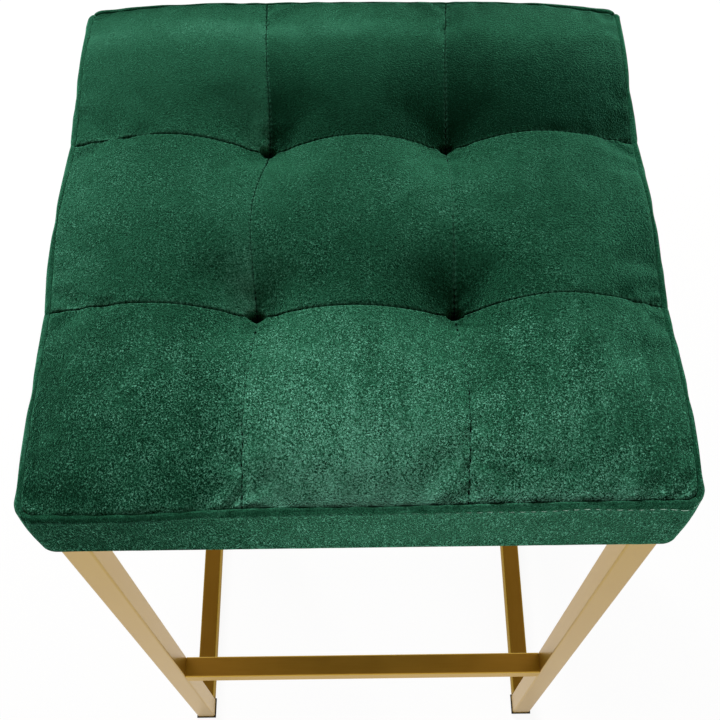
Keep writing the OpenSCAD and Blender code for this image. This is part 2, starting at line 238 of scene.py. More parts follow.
def studio_paper(board, place):
    paper = board.noise(place, 3.0)
    tone = board.tint(paper * 0.04, FLOOR_TINT, WHITE)
    matte = board.add("ShaderNodeBsdfDiffuse", {"Color": tone})
    glow = board.add("ShaderNodeEmission", {"Color": WHITE, "Strength": 1.0})
    straight = board.add("ShaderNodeLightPath", out="Is Camera Ray")
    share = straight * GLOW_STRAIGHT + (1.0 - straight) * seen_rays(board) * GLOW_MIRRORED
    board.show(board.add("ShaderNodeMixShader", {0: share, 1: matte, 2: glow}))


world = bpy.data.worlds.new("studio")
world.use_nodes = True
board = Board(world.node_tree)
height = board.axis(board.add("ShaderNodeTexCoord", out="Generated"), "Z")
sky = board.tint(board.step(height, HORIZON, OVERHEAD), WHITE, CEILING)
strength = seen_rays(board) * (1.0 - AMBIENT) + AMBIENT
backdrop = board.add("ShaderNodeBackground", {"Color": sky, "Strength": strength})
board.add("ShaderNodeOutputWorld", {"Surface": backdrop})
bpy.context.scene.world = world

corners = [(x * FLOOR_REACH, y * FLOOR_REACH, FLOOR_Z) for x, y in ((-1, -1), (1, -1), (1, 1), (-1, 1))]
studio_floor = new_object("studio_floor", new_mesh("studio_floor", corners, [(0, 1, 2, 3)]))
studio_floor.data.materials.append(new_finish("studio_floor", studio_paper))
print("floor and surroundings ready")

# %% Lamps
SEAT_MIDDLE = Vector((0.0, 0.0, 0.66))


def soft_lamp(name, place, size, watts):
    """A square area lamp that faces the seat. Polished metal doesn't mirror it as a hard patch."""
    data = bpy.data.lights.new(name, "AREA")
    data.shape = "SQUARE"
    data.size = size
    data.energy = watts
    lamp = new_object(name, data)
    lamp.location = place
    lamp.rotation_euler = (SEAT_MIDDLE - Vector(place)).to_track_quat("-Z", "Y").to_euler()
    lamp.visible_glossy = False


soft_lamp("rear_left_lamp", (-0.6, 2.0, 1.75), 1.0, 95)
soft_lamp("front_fill_lamp", (0.6, -2.2, 0.9), 1.4, 30)
print("lamps ready")

# %% [markdown]
# ## Gold plated tube
# The tubes are steel with a polished brass coloured plating under a clear lacquer. The plating is a
# metal with a warm colour. The lacquer is a coat, which pales the faces seen at a shallow angle. Fine
# polishing marks run along each tube, so the noise is stretched along the tube's own direction. The
# three versions differ in lacquer, and they are lit and shaded copies of one plating: their colour is
# painted lighter or darker for how the light falls, lightest on the cross tubes and deepest on the side
# tubes, which include the floor rails.

# %% Gold finishes
GOLD_DEEP = (0.46, 0.300, 0.032)
GOLD = (0.51, 0.342, 0.044)
GOLD_PALE = (0.55, 0.378, 0.056)
# Scales of the marks across a tube and along it
ACROSS, ALONG = 900.0, 30.0


def polished_gold(board, place, polish, painted_brightness, coat):
    """polish stretches the marks, painted_brightness multiplies the colour as painted light or shade, coat
    is the weight of the lacquer.
    """
    marks = board.noise(place, 1.0, 4.0, 0.6, 0.0, polish)
    clouds = board.noise(place, 16.0, 3.0, 0.55, 0.4)
    shades = [tuple(value * painted_brightness for value in shade) for shade in (GOLD_DEEP, GOLD, GOLD_PALE)]
    colour = board.ramp(marks * 0.45 + clouds * 0.55, *zip((0.25, 0.5, 0.8), shades))
    board.dress(colour, marks * 0.12 + clouds * 0.10 + 0.30, board.bump(marks, 0.12, 0.0002), {
        "Metallic": 1.0, "Coat Weight": coat, "Coat Roughness": 0.28, "Coat IOR": 1.5,
        "Specular Tint": (0.80, 0.60, 0.32, 1.0)})


# The second number is painted light and shade: the cross tubes are painted lighter and the side tubes darker
gold_upright = new_finish("gold_upright_tube", polished_gold, (ACROSS, ACROSS, ALONG), 1.0, 0.9)
gold_across = new_finish("gold_cross_tube", polished_gold, (ALONG, ACROSS, ACROSS), 1.11, 0.5)
gold_along = new_finish("gold_side_tube", polished_gold, (ACROSS, ALONG, ACROSS), 0.71, 0.12)
print("gold finishes ready")

# %% [markdown]
# ## Plastic, zinc, plywood, foam, twine and dust cloth
# These parts are mostly hidden, yet each gets what the real one shows up close: the mould texture of
# the glides, the blue and yellow bloom of zinc plating, the grain and the veneer lines of the board,
# the open cells of foam, the twist of waxed twine and the bonded fibres of the dust cloth.

# %% Finishes of the small and hidden parts
VENEER = 0.0030


def moulded_plastic(board, place):
    grain = board.noise(place, 900.0, 2.0, 0.5)
    scuffs = board.noise(place, 60.0, 4.0, 0.6, 0.0, (1.0, 1.0, 4.0))
    colour = board.ramp(scuffs, (0.3, (0.012, 0.012, 0.012)), (0.8, (0.035, 0.034, 0.033)))
    board.dress(colour, scuffs * 0.25 + 0.38, board.bump(grain, 0.25, 0.0001))


def zinc_plate(board, place):
    bloom = board.noise(place, 140.0, 4.0, 0.6, 0.8)
    blue, grey, yellow = (0.46, 0.50, 0.56), (0.60, 0.60, 0.58), (0.66, 0.62, 0.50)
    colour = board.ramp(bloom, (0.3, blue), (0.55, grey), (0.8, yellow))
    board.dress(colour, bloom * 0.2 + 0.25, board.bump(bloom, 0.1, 0.0002), {"Metallic": 1.0})


def birch_plywood(board, place):
    veneers = (board.axis(place, "Z") * (1.0 / VENEER)).wave()
    grain = board.noise(place, 1.0, 5.0, 0.6, 0.3, (420.0, 22.0, 420.0))
    pores = board.noise(place, 1.0, 3.0, 0.6, 0.0, (1500.0, 160.0, 1500.0))
    dark, middle, pale = (0.36, 0.21, 0.10), (0.52, 0.35, 0.19), (0.62, 0.45, 0.27)
    colour = board.ramp(grain * 0.7 + pores * 0.3, (0.25, dark), (0.55, middle), (0.85, pale))
    glue_lines = board.step(veneers, 0.35, 0.65)
    darker = board.tint(glue_lines * 0.25, colour, (0.30, 0.17, 0.08, 1.0))
    board.dress(darker, grain * 0.2 + 0.6, board.bump(pores, 0.3, 0.0003))


def open_cell_foam(board, place):
    cells = board.cells(place, 700.0)
    bloom = board.noise(place, 30.0, 2.0)
    dark, middle, pale = (0.50, 0.40, 0.20), (0.72, 0.61, 0.36), (0.80, 0.72, 0.48)
    colour = board.ramp(cells * 0.8 + bloom * 0.3, (0.15, dark), (0.5, middle), (0.9, pale))
    board.dress(colour, bloom * 0.1 + 0.88, board.bump(cells, 0.6, 0.0006))


def waxed_fibre(board, place):
    fibre = board.noise(place, 1800.0, 3.0, 0.6)
    colour = board.ramp(fibre, (0.3, (0.52, 0.47, 0.36)), (0.7, (0.72, 0.68, 0.56)))
    board.dress(colour, fibre * 0.2 + 0.45, board.bump(fibre, 0.4, 0.0002))


def bonded_cloth(board, place):
    fibres = board.noise(place, 420.0, 5.0, 0.7, 1.4)
    bonds = board.cells(place, 520.0, 0.15, distance="CHEBYCHEV")
    tone = fibres * 0.7 + board.step(bonds, 0.12, 0.3) * 0.3
    colour = board.ramp(tone, (0.3, (0.012, 0.012, 0.013)), (0.8, (0.045, 0.044, 0.046)))
    board.dress(colour, fibres * 0.2 + 0.7, board.bump(tone, 0.5, 0.0003))


glide_plastic = new_finish("moulded_glide_plastic", moulded_plastic)
zinc = new_finish("zinc_plate", zinc_plate)
plywood = new_finish("birch_plywood", birch_plywood)
foam = new_finish("open_cell_foam", open_cell_foam)
waxed_twine = new_finish("waxed_twine", waxed_fibre)
dust_cloth = new_finish("bonded_dust_cloth", bonded_cloth)
print("small finishes ready")

# %% [markdown]
# ## Velvet and its thread
# Velvet is a forest of short fibres. It looks deep and dark where it faces the eye and pale where it
# turns away, which the sheen lobe of the shader gives. Hands and packing leave the pile lying in all
# directions, so the colour carries specks of a millimetre or two, stronger where the pile is crushed,
# then soft patches and long streaks from front to back. The front row was crushed most.
#
# The mesh carries the rest at its points. Two numbers place the stitches: the distance to the nearest
# line of them, and their count along it. They give the needle holes and the seam lines painted dark as
# shade, the pucker between the holes, and a painted highlight on the cloth beside the seam. A third
# tells that the cloth between the edge seam and the topstitch is pressed smooth. Four more say how the
# pile lies: leaning back, left and up, and how open it stands, a number that also carries painted
# light and shade.

# %% Velvet finish
VELVET_DARK = (0.0009, 0.016, 0.0065)
VELVET = (0.0070, 0.058, 0.0275)
VELVET_PALE = (0.026, 0.140, 0.078)
VELVET_GLINT = (0.090, 0.300, 0.200)
VELVET_SPARK = (0.150, 0.440, 0.310)
# The painted shade of the needle holes and the seam lines
NEEDLE_HOLE_SHADE = (0.0005, 0.004, 0.002, 1.0)


def velvet_pile(board, place):
    depth = board.axis(place, "Y")
    front_row = 1.0 - board.step(depth, -0.10, -0.055)
    rear_row = board.step(depth, 0.05, 0.10)
    specks = board.noise(place, 1180.0, 1.5, 0.6, 0.9, (1.0, 0.92, 0.42))
    crushed = board.noise(place, 55.0, 2.0, 0.5, 0.4)
    patches = board.noise(place, 24.0, 3.0, 0.55, 0.9)
    streaks = board.noise(place, 1.0, 4.0, 0.6, 0.5, (120.0, 16.0, 22.0))
    # The specks are strongest in the front row, and weakest in the rear row and where the cloth is pressed
    speckled = (front_row * 3.4 - rear_row * 2.0 + 4.0) * (1.0 - board.fact("pile_pressed") * 0.75)
    grain = (specks - 0.5) * speckled * (crushed * 1.8 + 0.1)
    lie = (patches - 0.5) * (front_row * 0.35 + 0.45) + (streaks - 0.5) * (front_row * 0.75 + 0.15)
    # The pile's openness carries painted light and shade as well as the pile's own tone
    tone = (grain + lie + board.fact("pile_open")) * 0.4 + 0.32
    shades = (VELVET_DARK, VELVET, VELVET_PALE, VELVET_GLINT, VELVET_SPARK)
    colour = board.ramp(tone, *zip((0.064, 0.32, 0.52, 0.76, 1.0), shades))

    gap, count = board.fact("seam_gap"), board.fact("seam_count")
    # The count is whole in the middle of a stitch, and halfway between two stitches at the needle's hole
    between = (count + 0.5).wave()
    needle = between * between * between
    # Painted shade: dark needle holes, and a dark seam line outside the front row; then a painted highlight
    # on the cloth between stitches beside the seam
    hole = gap.falloff(0.8) * (needle * 0.65 + (1.0 - front_row) * 0.35)
    pucker_highlight = (gap - 1.1).falloff(0.6) * count.wave()
    with_painted_highlight = board.tint(pucker_highlight * 0.25, colour, (*VELVET_GLINT, 1.0))
    with_painted_shade = board.tint(hole, with_painted_highlight, NEEDLE_HOLE_SHADE)
    pucker = gap.falloff(1.8) * between

    facing = board.add("ShaderNodeNewGeometry", out="Normal")
    unrest = front_row * 0.5 + 0.35
    lean_x = board.fact("pile_left") * -1.0 + (streaks - 0.5) * unrest
    lean_y = board.fact("pile_back") + (patches - 0.5) * unrest
    lean = board.add("ShaderNodeCombineXYZ", {"X": lean_x, "Y": lean_y, "Z": board.fact("pile_up")})
    leaning = board.add("ShaderNodeVectorMath", {0: facing, 1: lean}, operation="ADD")
    pile_way = board.add("ShaderNodeVectorMath", {0: leaning}, operation="NORMALIZE")
    pile = board.bump(specks, 0.9, 0.0016, pile_way)
    board.dress(with_painted_shade, specks * 0.15 + 0.78, board.bump(pucker, 0.8, 0.0006, pile), {
        "Specular IOR Level": 0.04, "Sheen Weight": 0.8, "Sheen Roughness": 0.35,
        "Sheen Tint": (0.20, 0.90, 0.53, 1.0)})


def twisted_thread(board, place, shade, light, painted_lit=None):
    """painted_lit is a painted highlight: the paler colour of the thread on the right side of the seat,
    where the light catches it.
    """
    fibre = board.noise(place, 2500.0, 2.0, 0.6)
    colour = board.ramp(fibre, (0.3, shade), (0.7, light))
    if painted_lit:
        colour = board.tint(board.step(board.axis(place, "X"), 0.0, 0.13), colour, (*painted_lit, 1.0))
    board.dress(colour, fibre * 0.2 + 0.45, None, {"Specular IOR Level": 0.04})


velvet = new_finish("emerald_velvet", velvet_pile)
quilting_thread = new_finish(
    "quilting_thread", twisted_thread, (0.0004, 0.003, 0.0015), (0.0012, 0.007, 0.004))
# The topstitch's third colour is painted light on the right side of the seat
topstitch_thread = new_finish(
    "topstitch_thread", twisted_thread, (0.006, 0.050, 0.028), (0.030, 0.150, 0.090), (0.480, 0.700, 0.580))
print("velvet and thread ready")

# %% [markdown]
# ## Finishes on the rigid solids
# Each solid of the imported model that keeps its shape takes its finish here. A tube's gold is the
# version whose polishing marks run its way.

# %% Dress the rigid solids
RIGID = {
    gold_upright: ["left_front_leg", "right_front_leg", "left_rear_leg", "right_rear_leg"],
    gold_across: ["front_foot_rail", "rear_stretcher", "front_seat_rail", "rear_seat_rail",
                  "front_left_tab", "front_right_tab", "rear_left_tab", "rear_right_tab"],
    gold_along: ["left_floor_rail", "right_floor_rail", "left_seat_rail", "right_seat_rail"],
    glide_plastic: ["front_left_glide", "front_right_glide", "rear_left_glide", "rear_right_glide"],
    zinc: ["seat_screws", "seat_washers", "tee_nuts", "seat_staples"],
    plywood: ["seat_board"],
}
for look, names in RIGID.items():
    for name in names:
        materials = nodes[name].data.materials
        materials.clear()
        materials.append(look)
print("dressed", sum(len(names) for names in RIGID.values()), "solids")

# %% [markdown]
# ## Turning points into pieces
# One function makes any piece from points and faces in millimetres, smooths it except at sharp edges,
# and hides the plain solid that it stands for. Most soft pieces are closed shells: an outer grid, an
# inner grid and a wall round their rims.

# %% Piece and shell makers
SHARP_EDGE = 50.0


def make_piece(name, points, faces, look, stands_for, slot, attributes=None):
    mesh = new_mesh(name, points, faces)
    mesh.materials.append(look)
    for key, values in (attributes or {}).items():
        layer = mesh.attributes.new(key, "FLOAT", "POINT")
        layer.data.foreach_set("value", np.asarray(values, np.float32))
    mesh.shade_smooth()
    mesh.set_sharp_from_angle(angle=math.radians(SHARP_EDGE))
    made = new_object(name, mesh)
    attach(made, "root")
    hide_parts(stands_for)
    return made


def grid_faces(rows, columns):
    """Faces of a grid of points, and the points met on a walk round its rim."""
    index = np.arange(rows * columns).reshape(rows, columns)
    quads = np.stack([index[:-1, :-1], index[:-1, 1:], index[1:, 1:], index[1:, :-1]], -1)
    rim = np.concatenate([index[0, :], index[1:, -1], index[-1, -2::-1], index[-2:0:-1, 0]])
    return quads.reshape(-1, 4), rim


def make_shell(name, outer, inner, *details):
    """A closed piece between two grids of points. The details go on to make_piece."""
    quads, rim = grid_faces(*outer.shape[:2])
    total = outer.shape[0] * outer.shape[1]
    after = np.roll(rim, -1)
    wall = np.stack([rim, rim + total, after + total, after], 1)
    faces = np.concatenate([quads, quads[:, [0, 3, 2, 1]] + total, wall]).tolist()
    points = np.concatenate([outer.reshape(-1, 3), inner.reshape(-1, 3)])
    return make_piece(name, points, faces, *details)


print("piece makers ready")

# %% [markdown]
# ## The cushion's shape
# The seat is three by three panels. Four tufts are tied down hard, the straight seams between them
# are sewn through, and the panels puff up in between. The height of the velvet is a sum: a flat edge
# height, the lift of the panels read smoothly from a table, a valley beside each seam, a dimple at each
# tuft with fine pleats round it, a narrow groove where the needle pulls the velvet down, and two creases
# that packing pressed into the front right panel. Real seams wander by a few millimetres, so small
# offsets read at a few places along each seam move the lines.

# %% Sizes of the cushion, in millimetres
FRAME_TOP = 627.0
EDGE_Z = 692.0
SEAT_HALF = (195.5, 198.0)
SEAM_INSET = 4.8
SEAM_HALF = (190.7, 193.2)
FRONT_CORNER, REAR_CORNER, LEAST_CORNER = 13.0, 10.0, 4.0
TUFT_X = 63.5
TUFT_Y = (-60.75, 70.75)
TUFTS = [(x, y) for x in (-TUFT_X, TUFT_X) for y in TUFT_Y]
TUFT_DROP, TUFT_REACH, TUFT_POWER = 20.0, 32.0, 1.3
PIT, PIT_HALF, PIT_POWER = 12.0, (4.8, 2.9), 5
PLEATS, PLEAT_HEIGHT, PLEAT_REACH, PLEAT_START = 8, 0.6, 7.0, 5.0
ROW_VALLEY, COLUMN_VALLEY, VALLEY_REACH = 1.0, 0.8, 5.0
# A seam that meets the edge draws it in: how far, over what length of the edge, and how steeply inward
SIDE_DRAW, DRAW_REACH, EDGE_POWER = 0.4, 22.0, 4
# The velvet's thickness, and the gap between two cut pieces at a seam
COVER, GAP = 1.5, 0.3
# How deep the needle pulls the velvet down: along the row seams, and along the columns' three parts
ROW_GROOVE, COLUMN_GROOVE, GROOVE_REACH = 1.1, [0.3, 1.2, 1.6], 0.5
# How far the top's edge dips into its seam
EDGE_DIP, EDGE_DIP_REACH = 0.65, 0.8
# Places of the seams as shares of the half width and of the half depth
MARKS_U = np.array([-1, -TUFT_X / SEAM_HALF[0], TUFT_X / SEAM_HALF[0], 1])
MARKS_V = np.array([-1, TUFT_Y[0] / SEAM_HALF[1], TUFT_Y[1] / SEAM_HALF[1], 1])
# Creases in the front right panel: start, stop and depth, and how wide each is
CREASES = [((68.0, -162.0), (131.0, -180.0), 0.8), ((68.0, -168.0), (92.0, -183.0), 0.6)]
CREASE_REACH = 2.0

# Height over the edge height at the edges, the tuft lines and midway: front row of the table first
LIFT = np.array([
    [-7.0, -4.5, -4.0, -2.0, -1.0, 1.0, 3.0],
    [-2.0, 5.5, 4.0, 6.5, 5.0, 7.5, 3.0],
    [-7.0, 3.5, 0.0, -1.0, 0.5, 8.0, -9.0],
    [-1.0, 7.5, 6.0, 7.5, 6.0, 8.0, -1.0],
    [-5.0, 3.5, 0.5, 3.5, 1.5, 2.5, -10.0],
    [-1.0, 7.0, 6.0, 8.0, 6.0, 6.5, -2.0],
    [-6.0, 0.0, 1.0, 1.5, 1.0, -1.5, -10.0],
])

# How far each seam line wanders, at its ends, at the tufts and midway
ROW_WANDER = [
    [0.0, -1.6, 0.8, 0.1, 0.5, 0.6, 0.0],
    [-0.9, 0.4, 0.6, 0.7, 0.1, 1.0, -1.5],
    [-2.3, 1.4, -0.2, 0.3, 0.2, 0.6, -2.6],
    [-2.5, -0.5, -1.0, -1.4, -2.4, -2.8, -5.5],
]
COLUMN_WANDER = [
    [0.3, 0.7, 0.3, -0.9, 1.6, 1.0, 2.1],
    [-1.6, -2.0, 0.7, -2.8, 4.9, 3.5, 1.3],
    [-1.6, 2.1, -1.0, -0.1, -0.2, 0.6, 4.6],
    [-1.7, 0.4, 0.2, -0.4, -1.0, -1.0, 1.1],
]
print("cushion", 2 * SEAT_HALF[0], "by", 2 * SEAT_HALF[1], "mm, tufts", TUFTS)

# %% [markdown]
# ## How the pile lies
# Each panel was cut apart from the rest and brushed its own way, so its pile leans its own way and
# stands more or less open. Open pile shows paler fibres. The number for how open it stands also
# carries painted light and shade: each panel is painted lighter or darker for how the light falls on
# it, with painted highlights behind the row seams, across the rear panels, at the front edge and
# behind some tufts, and painted shade at the rear edge, in the creases and in the pits of the tufts.
# Where the velvet is pressed, its specks are fainter.

# %% The lie of the pile, front row of each table first
# How far the pile of each panel leans to the back and to the left, as a share of its height
LEAN_BACK_AT_FRONT = np.array([[0.06, 1.00, 0.80], [0.12, 0.10, 0.04], [0.10, -0.50, -0.60]])
LEAN_BACK_AT_REAR = np.array([[0.04, 0.14, 0.00], [0.06, -0.02, -0.06], [0.30, 0.26, 0.20]])
LEAN_LEFT = np.array([[0.02, 0.06, 0.04], [0.10, 0.04, 0.0], [0.04, -0.04, -0.06]])
# How straight up it stands, which evens out the light on the slopes of the panel
LEAN_UP = np.array([[0.0, 0.0, 0.0], [0.5, 0.1, 0.0], [1.2, 0.3, 0.3]])
# How open the pile of each panel stands, and how much lighter or darker it is painted for the light, at its
# front and at its rear
OPEN_AND_PAINTED_AT_FRONT = np.array([[-0.06, 0.56, 0.34], [0.06, -0.04, -0.12], [0.02, -0.50, -0.75]])
OPEN_AND_PAINTED_AT_REAR = np.array([[-0.02, 0.22, 0.02], [0.06, 0.00, -0.02], [0.10, 0.04, 0.00]])
# How much more open it stands, and how much lighter or darker it is painted, at the edges, the tuft lines
# and midway
OPEN_AND_PAINTED_MORE = np.array([
    [-0.15, -0.05, 0.20, 0.75, 0.15, 0.25, -0.30],
    [-0.75, -0.05, 0.05, 0.00, -0.20, -0.20, -0.85],
    [0.10, -0.05, 0.00, 0.05, -0.30, 0.05, -0.40],
    [0.25, 0.00, 0.15, 0.00, 0.20, 0.00, -0.30],
    [0.10, -0.05, 0.00, 0.05, -0.05, 0.00, -0.35],
    [0.10, 0.00, 0.10, 0.05, -0.15, -0.05, -0.50],
    [0.10, -0.05, 0.05, -0.20, -0.50, -0.40, -0.50],
])
# Over how many millimetres it changes at the column seams of each row: the front panels were crushed alike
PILE_BLEND = np.array([46.0, 5.0, 2.0])
# The painted light and shade behind each tuft, in the order of TUFTS: left of its column seam and right
PAINTED_SHADING_BEHIND_TUFT = [(0.65, 0.10), (0.50, -0.15), (-0.1, -0.1), (0.0, 0.0)]
# How wide and how long that fan is, and over what length it starts
FAN_REACH, FAN_START = (20, 38), 3
# The painted shade in the pit of a tuft: how dark, how far it spreads and how sharply it ends
PIT_SHADE, PIT_SPREAD, PIT_SOFTNESS = 1.5, 1.05, 6
# The gleam just behind each row seam
SEAM_GLEAM, SEAM_GLEAM_REACH = 0.3, 3.5
# The gleam across the rear panels: left, middle and right, then how far in from the edge and how wide
REAR_GLEAM_AT, REAR_GLEAM = [-0.66, 0, 0.66], [0.28, 0.46, 0.34]
REAR_GLEAM_IN, REAR_GLEAM_REACH = 32, 14
# Close to the edge seams: the gleam at the front from left to right, its lean, and the shade at the rear
FRONT_EDGE_AT, FRONT_EDGE_GLEAM = [-1, -0.4, 0, 1], [0.05, 0.45, 0.55, 0.50]
EDGE_REACH, FRONT_EDGE_LEAN, REAR_EDGE_SHADE = 5.5, 0.6, 0.45
# How much painted shade darkens a crease, for each millimetre of its depth
CREASE_SHADE = 0.5
# Along the front strip, from its left end to its right end: how open the pile is and how much lighter or
# darker it is painted for the light, and how far it leans up
OPEN_AND_PAINTED_FRONT_STRIP = [-0.42, -0.36, -0.14, -0.12, -0.10, -0.15, -0.20]
UP_FRONT_STRIP = [0.75, 0.70, 0.25, 0.02, 0.0, 0.05, 0.15]
# Over the front strip's shoulder: millimetres along the cloth, and how much lighter or darker it is painted
# for the light
PAINTED_SHADING_ROUND_SHOULDER = [0.0, 3.0, 5.5, 8.2, 9.5], [0.55, 0.40, -0.15, -0.25, 0.0]
# How much lighter the left strip is painted above its topstitch, as painted light
PAINTED_LIGHT_LEFT_SHOULDER = 0.3
print("pile of", LEAN_UP.size, "panels")

# %% The rule of the cushion's surface


def bell(distance, reach, power=2):
    """1 at no distance, falling as it passes reach, the more abruptly the higher the power."""
    return np.exp(-((distance / reach) ** power))


def stops_of(marks):
    middles = (marks[:-1] + marks[1:]) / 2
    return np.sort(np.concatenate([marks, middles]))


def through(stops, values, at):
    """A smooth curve through a few values: a natural cubic spline."""
    x, y = np.asarray(stops, float), np.asarray(values, float)
    gaps = np.diff(x)
    system, right = np.eye(len(x)), np.zeros(len(x))
    for k in range(1, len(x) - 1):
        system[k, k - 1:k + 2] = gaps[k - 1], 2 * (gaps[k - 1] + gaps[k]), gaps[k]
        right[k] = 6 * ((y[k + 1] - y[k]) / gaps[k] - (y[k] - y[k - 1]) / gaps[k - 1])
    bend = np.linalg.solve(system, right)
    k = np.clip(np.searchsorted(x, at) - 1, 0, len(x) - 2)
    after, before, gap = at - x[k], x[k + 1] - at, gaps[k]
    curve = (bend[k] * before**3 + bend[k + 1] * after**3) / (6 * gap)
    curve = curve + (y[k] / gap - bend[k] * gap / 6) * before
    return curve + (y[k + 1] / gap - bend[k + 1] * gap / 6) * after


def through_table(table, u, v):
    """A smooth surface through a table of heights, read at any points."""
    along_u = [through(stops_of(MARKS_U), unit, u) for unit in np.eye(7)]
    along_v = [through(stops_of(MARKS_V), unit, v) for unit in np.eye(7)]
    return sum(table[i, j] * along_v[i] * along_u[j] for i in range(7) for j in range(7))


def blend_lines(marks, table, across, along, along_marks):
    """The wander between four lines, each given by its values along it."""
    total = np.zeros_like(across)
    for k, values in enumerate(table):
        weight = np.interp(across, marks, np.eye(4)[k])
        total = total + weight * through(stops_of(along_marks), values, along)
    return total


def wander(u, v):
    """How far the seams carry a point of the unit square along x and along y."""
    dx = blend_lines(MARKS_U, COLUMN_WANDER, u, v, MARKS_V)
    dy = blend_lines(MARKS_V, ROW_WANDER, v, u, MARKS_U)
    return dx, dy


def grid_lines(cells, marks):
    """Shares of the half width at each grid line, set close beside the seams."""
    step = np.arange(3 * cells + 1)
    panel = np.minimum(step // cells, 2)
    place = (1 - np.cos(np.pi * (step - panel * cells) / cells)) / 2
    return marks[panel] + (marks[panel + 1] - marks[panel]) * place


def round_corners(u, v, half_x, half_y):
    """A point of the unit square laid on a rectangle with rounded corners."""
    inset = SEAT_HALF[0] - half_x
    radius = np.maximum(np.where(v > 0, REAR_CORNER, FRONT_CORNER) - inset, LEAST_CORNER)
    a = (np.abs(u) * half_x - half_x + radius) / radius
    b = (np.abs(v) * half_y - half_y + radius) / radius
    corner = (a > 0) & (b > 0)
    a, b = np.clip(a, 0, 1), np.clip(b, 0, 1)
    x = np.where(corner, np.sign(u) * (half_x - radius + radius * a * np.sqrt(1 - b * b / 2)), u * half_x)
    y = np.where(corner, np.sign(v) * (half_y - radius + radius * b * np.sqrt(1 - a * a / 2)), v * half_y)
    return x, y


def seam_distances(x, y):
    """Distance to the nearest column seam and to the nearest row seam."""
    column = np.minimum(np.abs(x + TUFT_X), np.abs(x - TUFT_X))
    row = np.minimum(np.abs(y - TUFT_Y[0]), np.abs(y - TUFT_Y[1]))
    return column, row


def pit_distance(dx, dy):
    """Distance from a tuft, 1 at the rim of its pit."""
    return np.hypot(dx / PIT_HALF[0], dy / PIT_HALF[1])


def crease_depth(x, y):
    """How deep the pressed creases are at any point."""
    total = 0 * x
    for (x0, y0), (x1, y1), deep in CREASES:
        length = np.hypot(x1 - x0, y1 - y0)
        along = ((x - x0) * (x1 - x0) + (y - y0) * (y1 - y0)) / length**2
        across = ((x - x0) * (y1 - y0) - (y - y0) * (x1 - x0)) / length
        total = total + deep * np.sin(np.pi * np.clip(along, 0, 1)) * bell(across, CREASE_REACH)
    return total


def height_of(u, v, x, y, fine=True):
    """Height of the velvet over the floor."""
    column, row = seam_distances(x, y)
    column_valley = COLUMN_VALLEY * np.exp(-column / VALLEY_REACH)
    row_valley = ROW_VALLEY * np.exp(-row / VALLEY_REACH)
    z = EDGE_Z + through_table(LIFT, u, v) - np.maximum(column_valley, row_valley)
    for tuft_x, tuft_y in TUFTS:
        dx, dy = x - tuft_x, y - tuft_y
        away = np.hypot(dx, dy)
        z = z - TUFT_DROP * bell(away, TUFT_REACH, TUFT_POWER)
        if fine:
            pleat = np.cos(PLEATS * np.arctan2(dy, dx)) * np.exp(-away / PLEAT_REACH)
            pleat = pleat * np.minimum(away / PLEAT_START, 1)
            z = z - PIT * bell(pit_distance(dx, dy), 1, PIT_POWER) + PLEAT_HEIGHT * pleat
    if fine:
        z = z - crease_depth(x, y)
        column_groove = np.interp(v, (MARKS_V[:-1] + MARKS_V[1:]) / 2, COLUMN_GROOVE)
        z = z - np.maximum(ROW_GROOVE * bell(row, GROOVE_REACH), column_groove * bell(column, GROOVE_REACH))
    return z


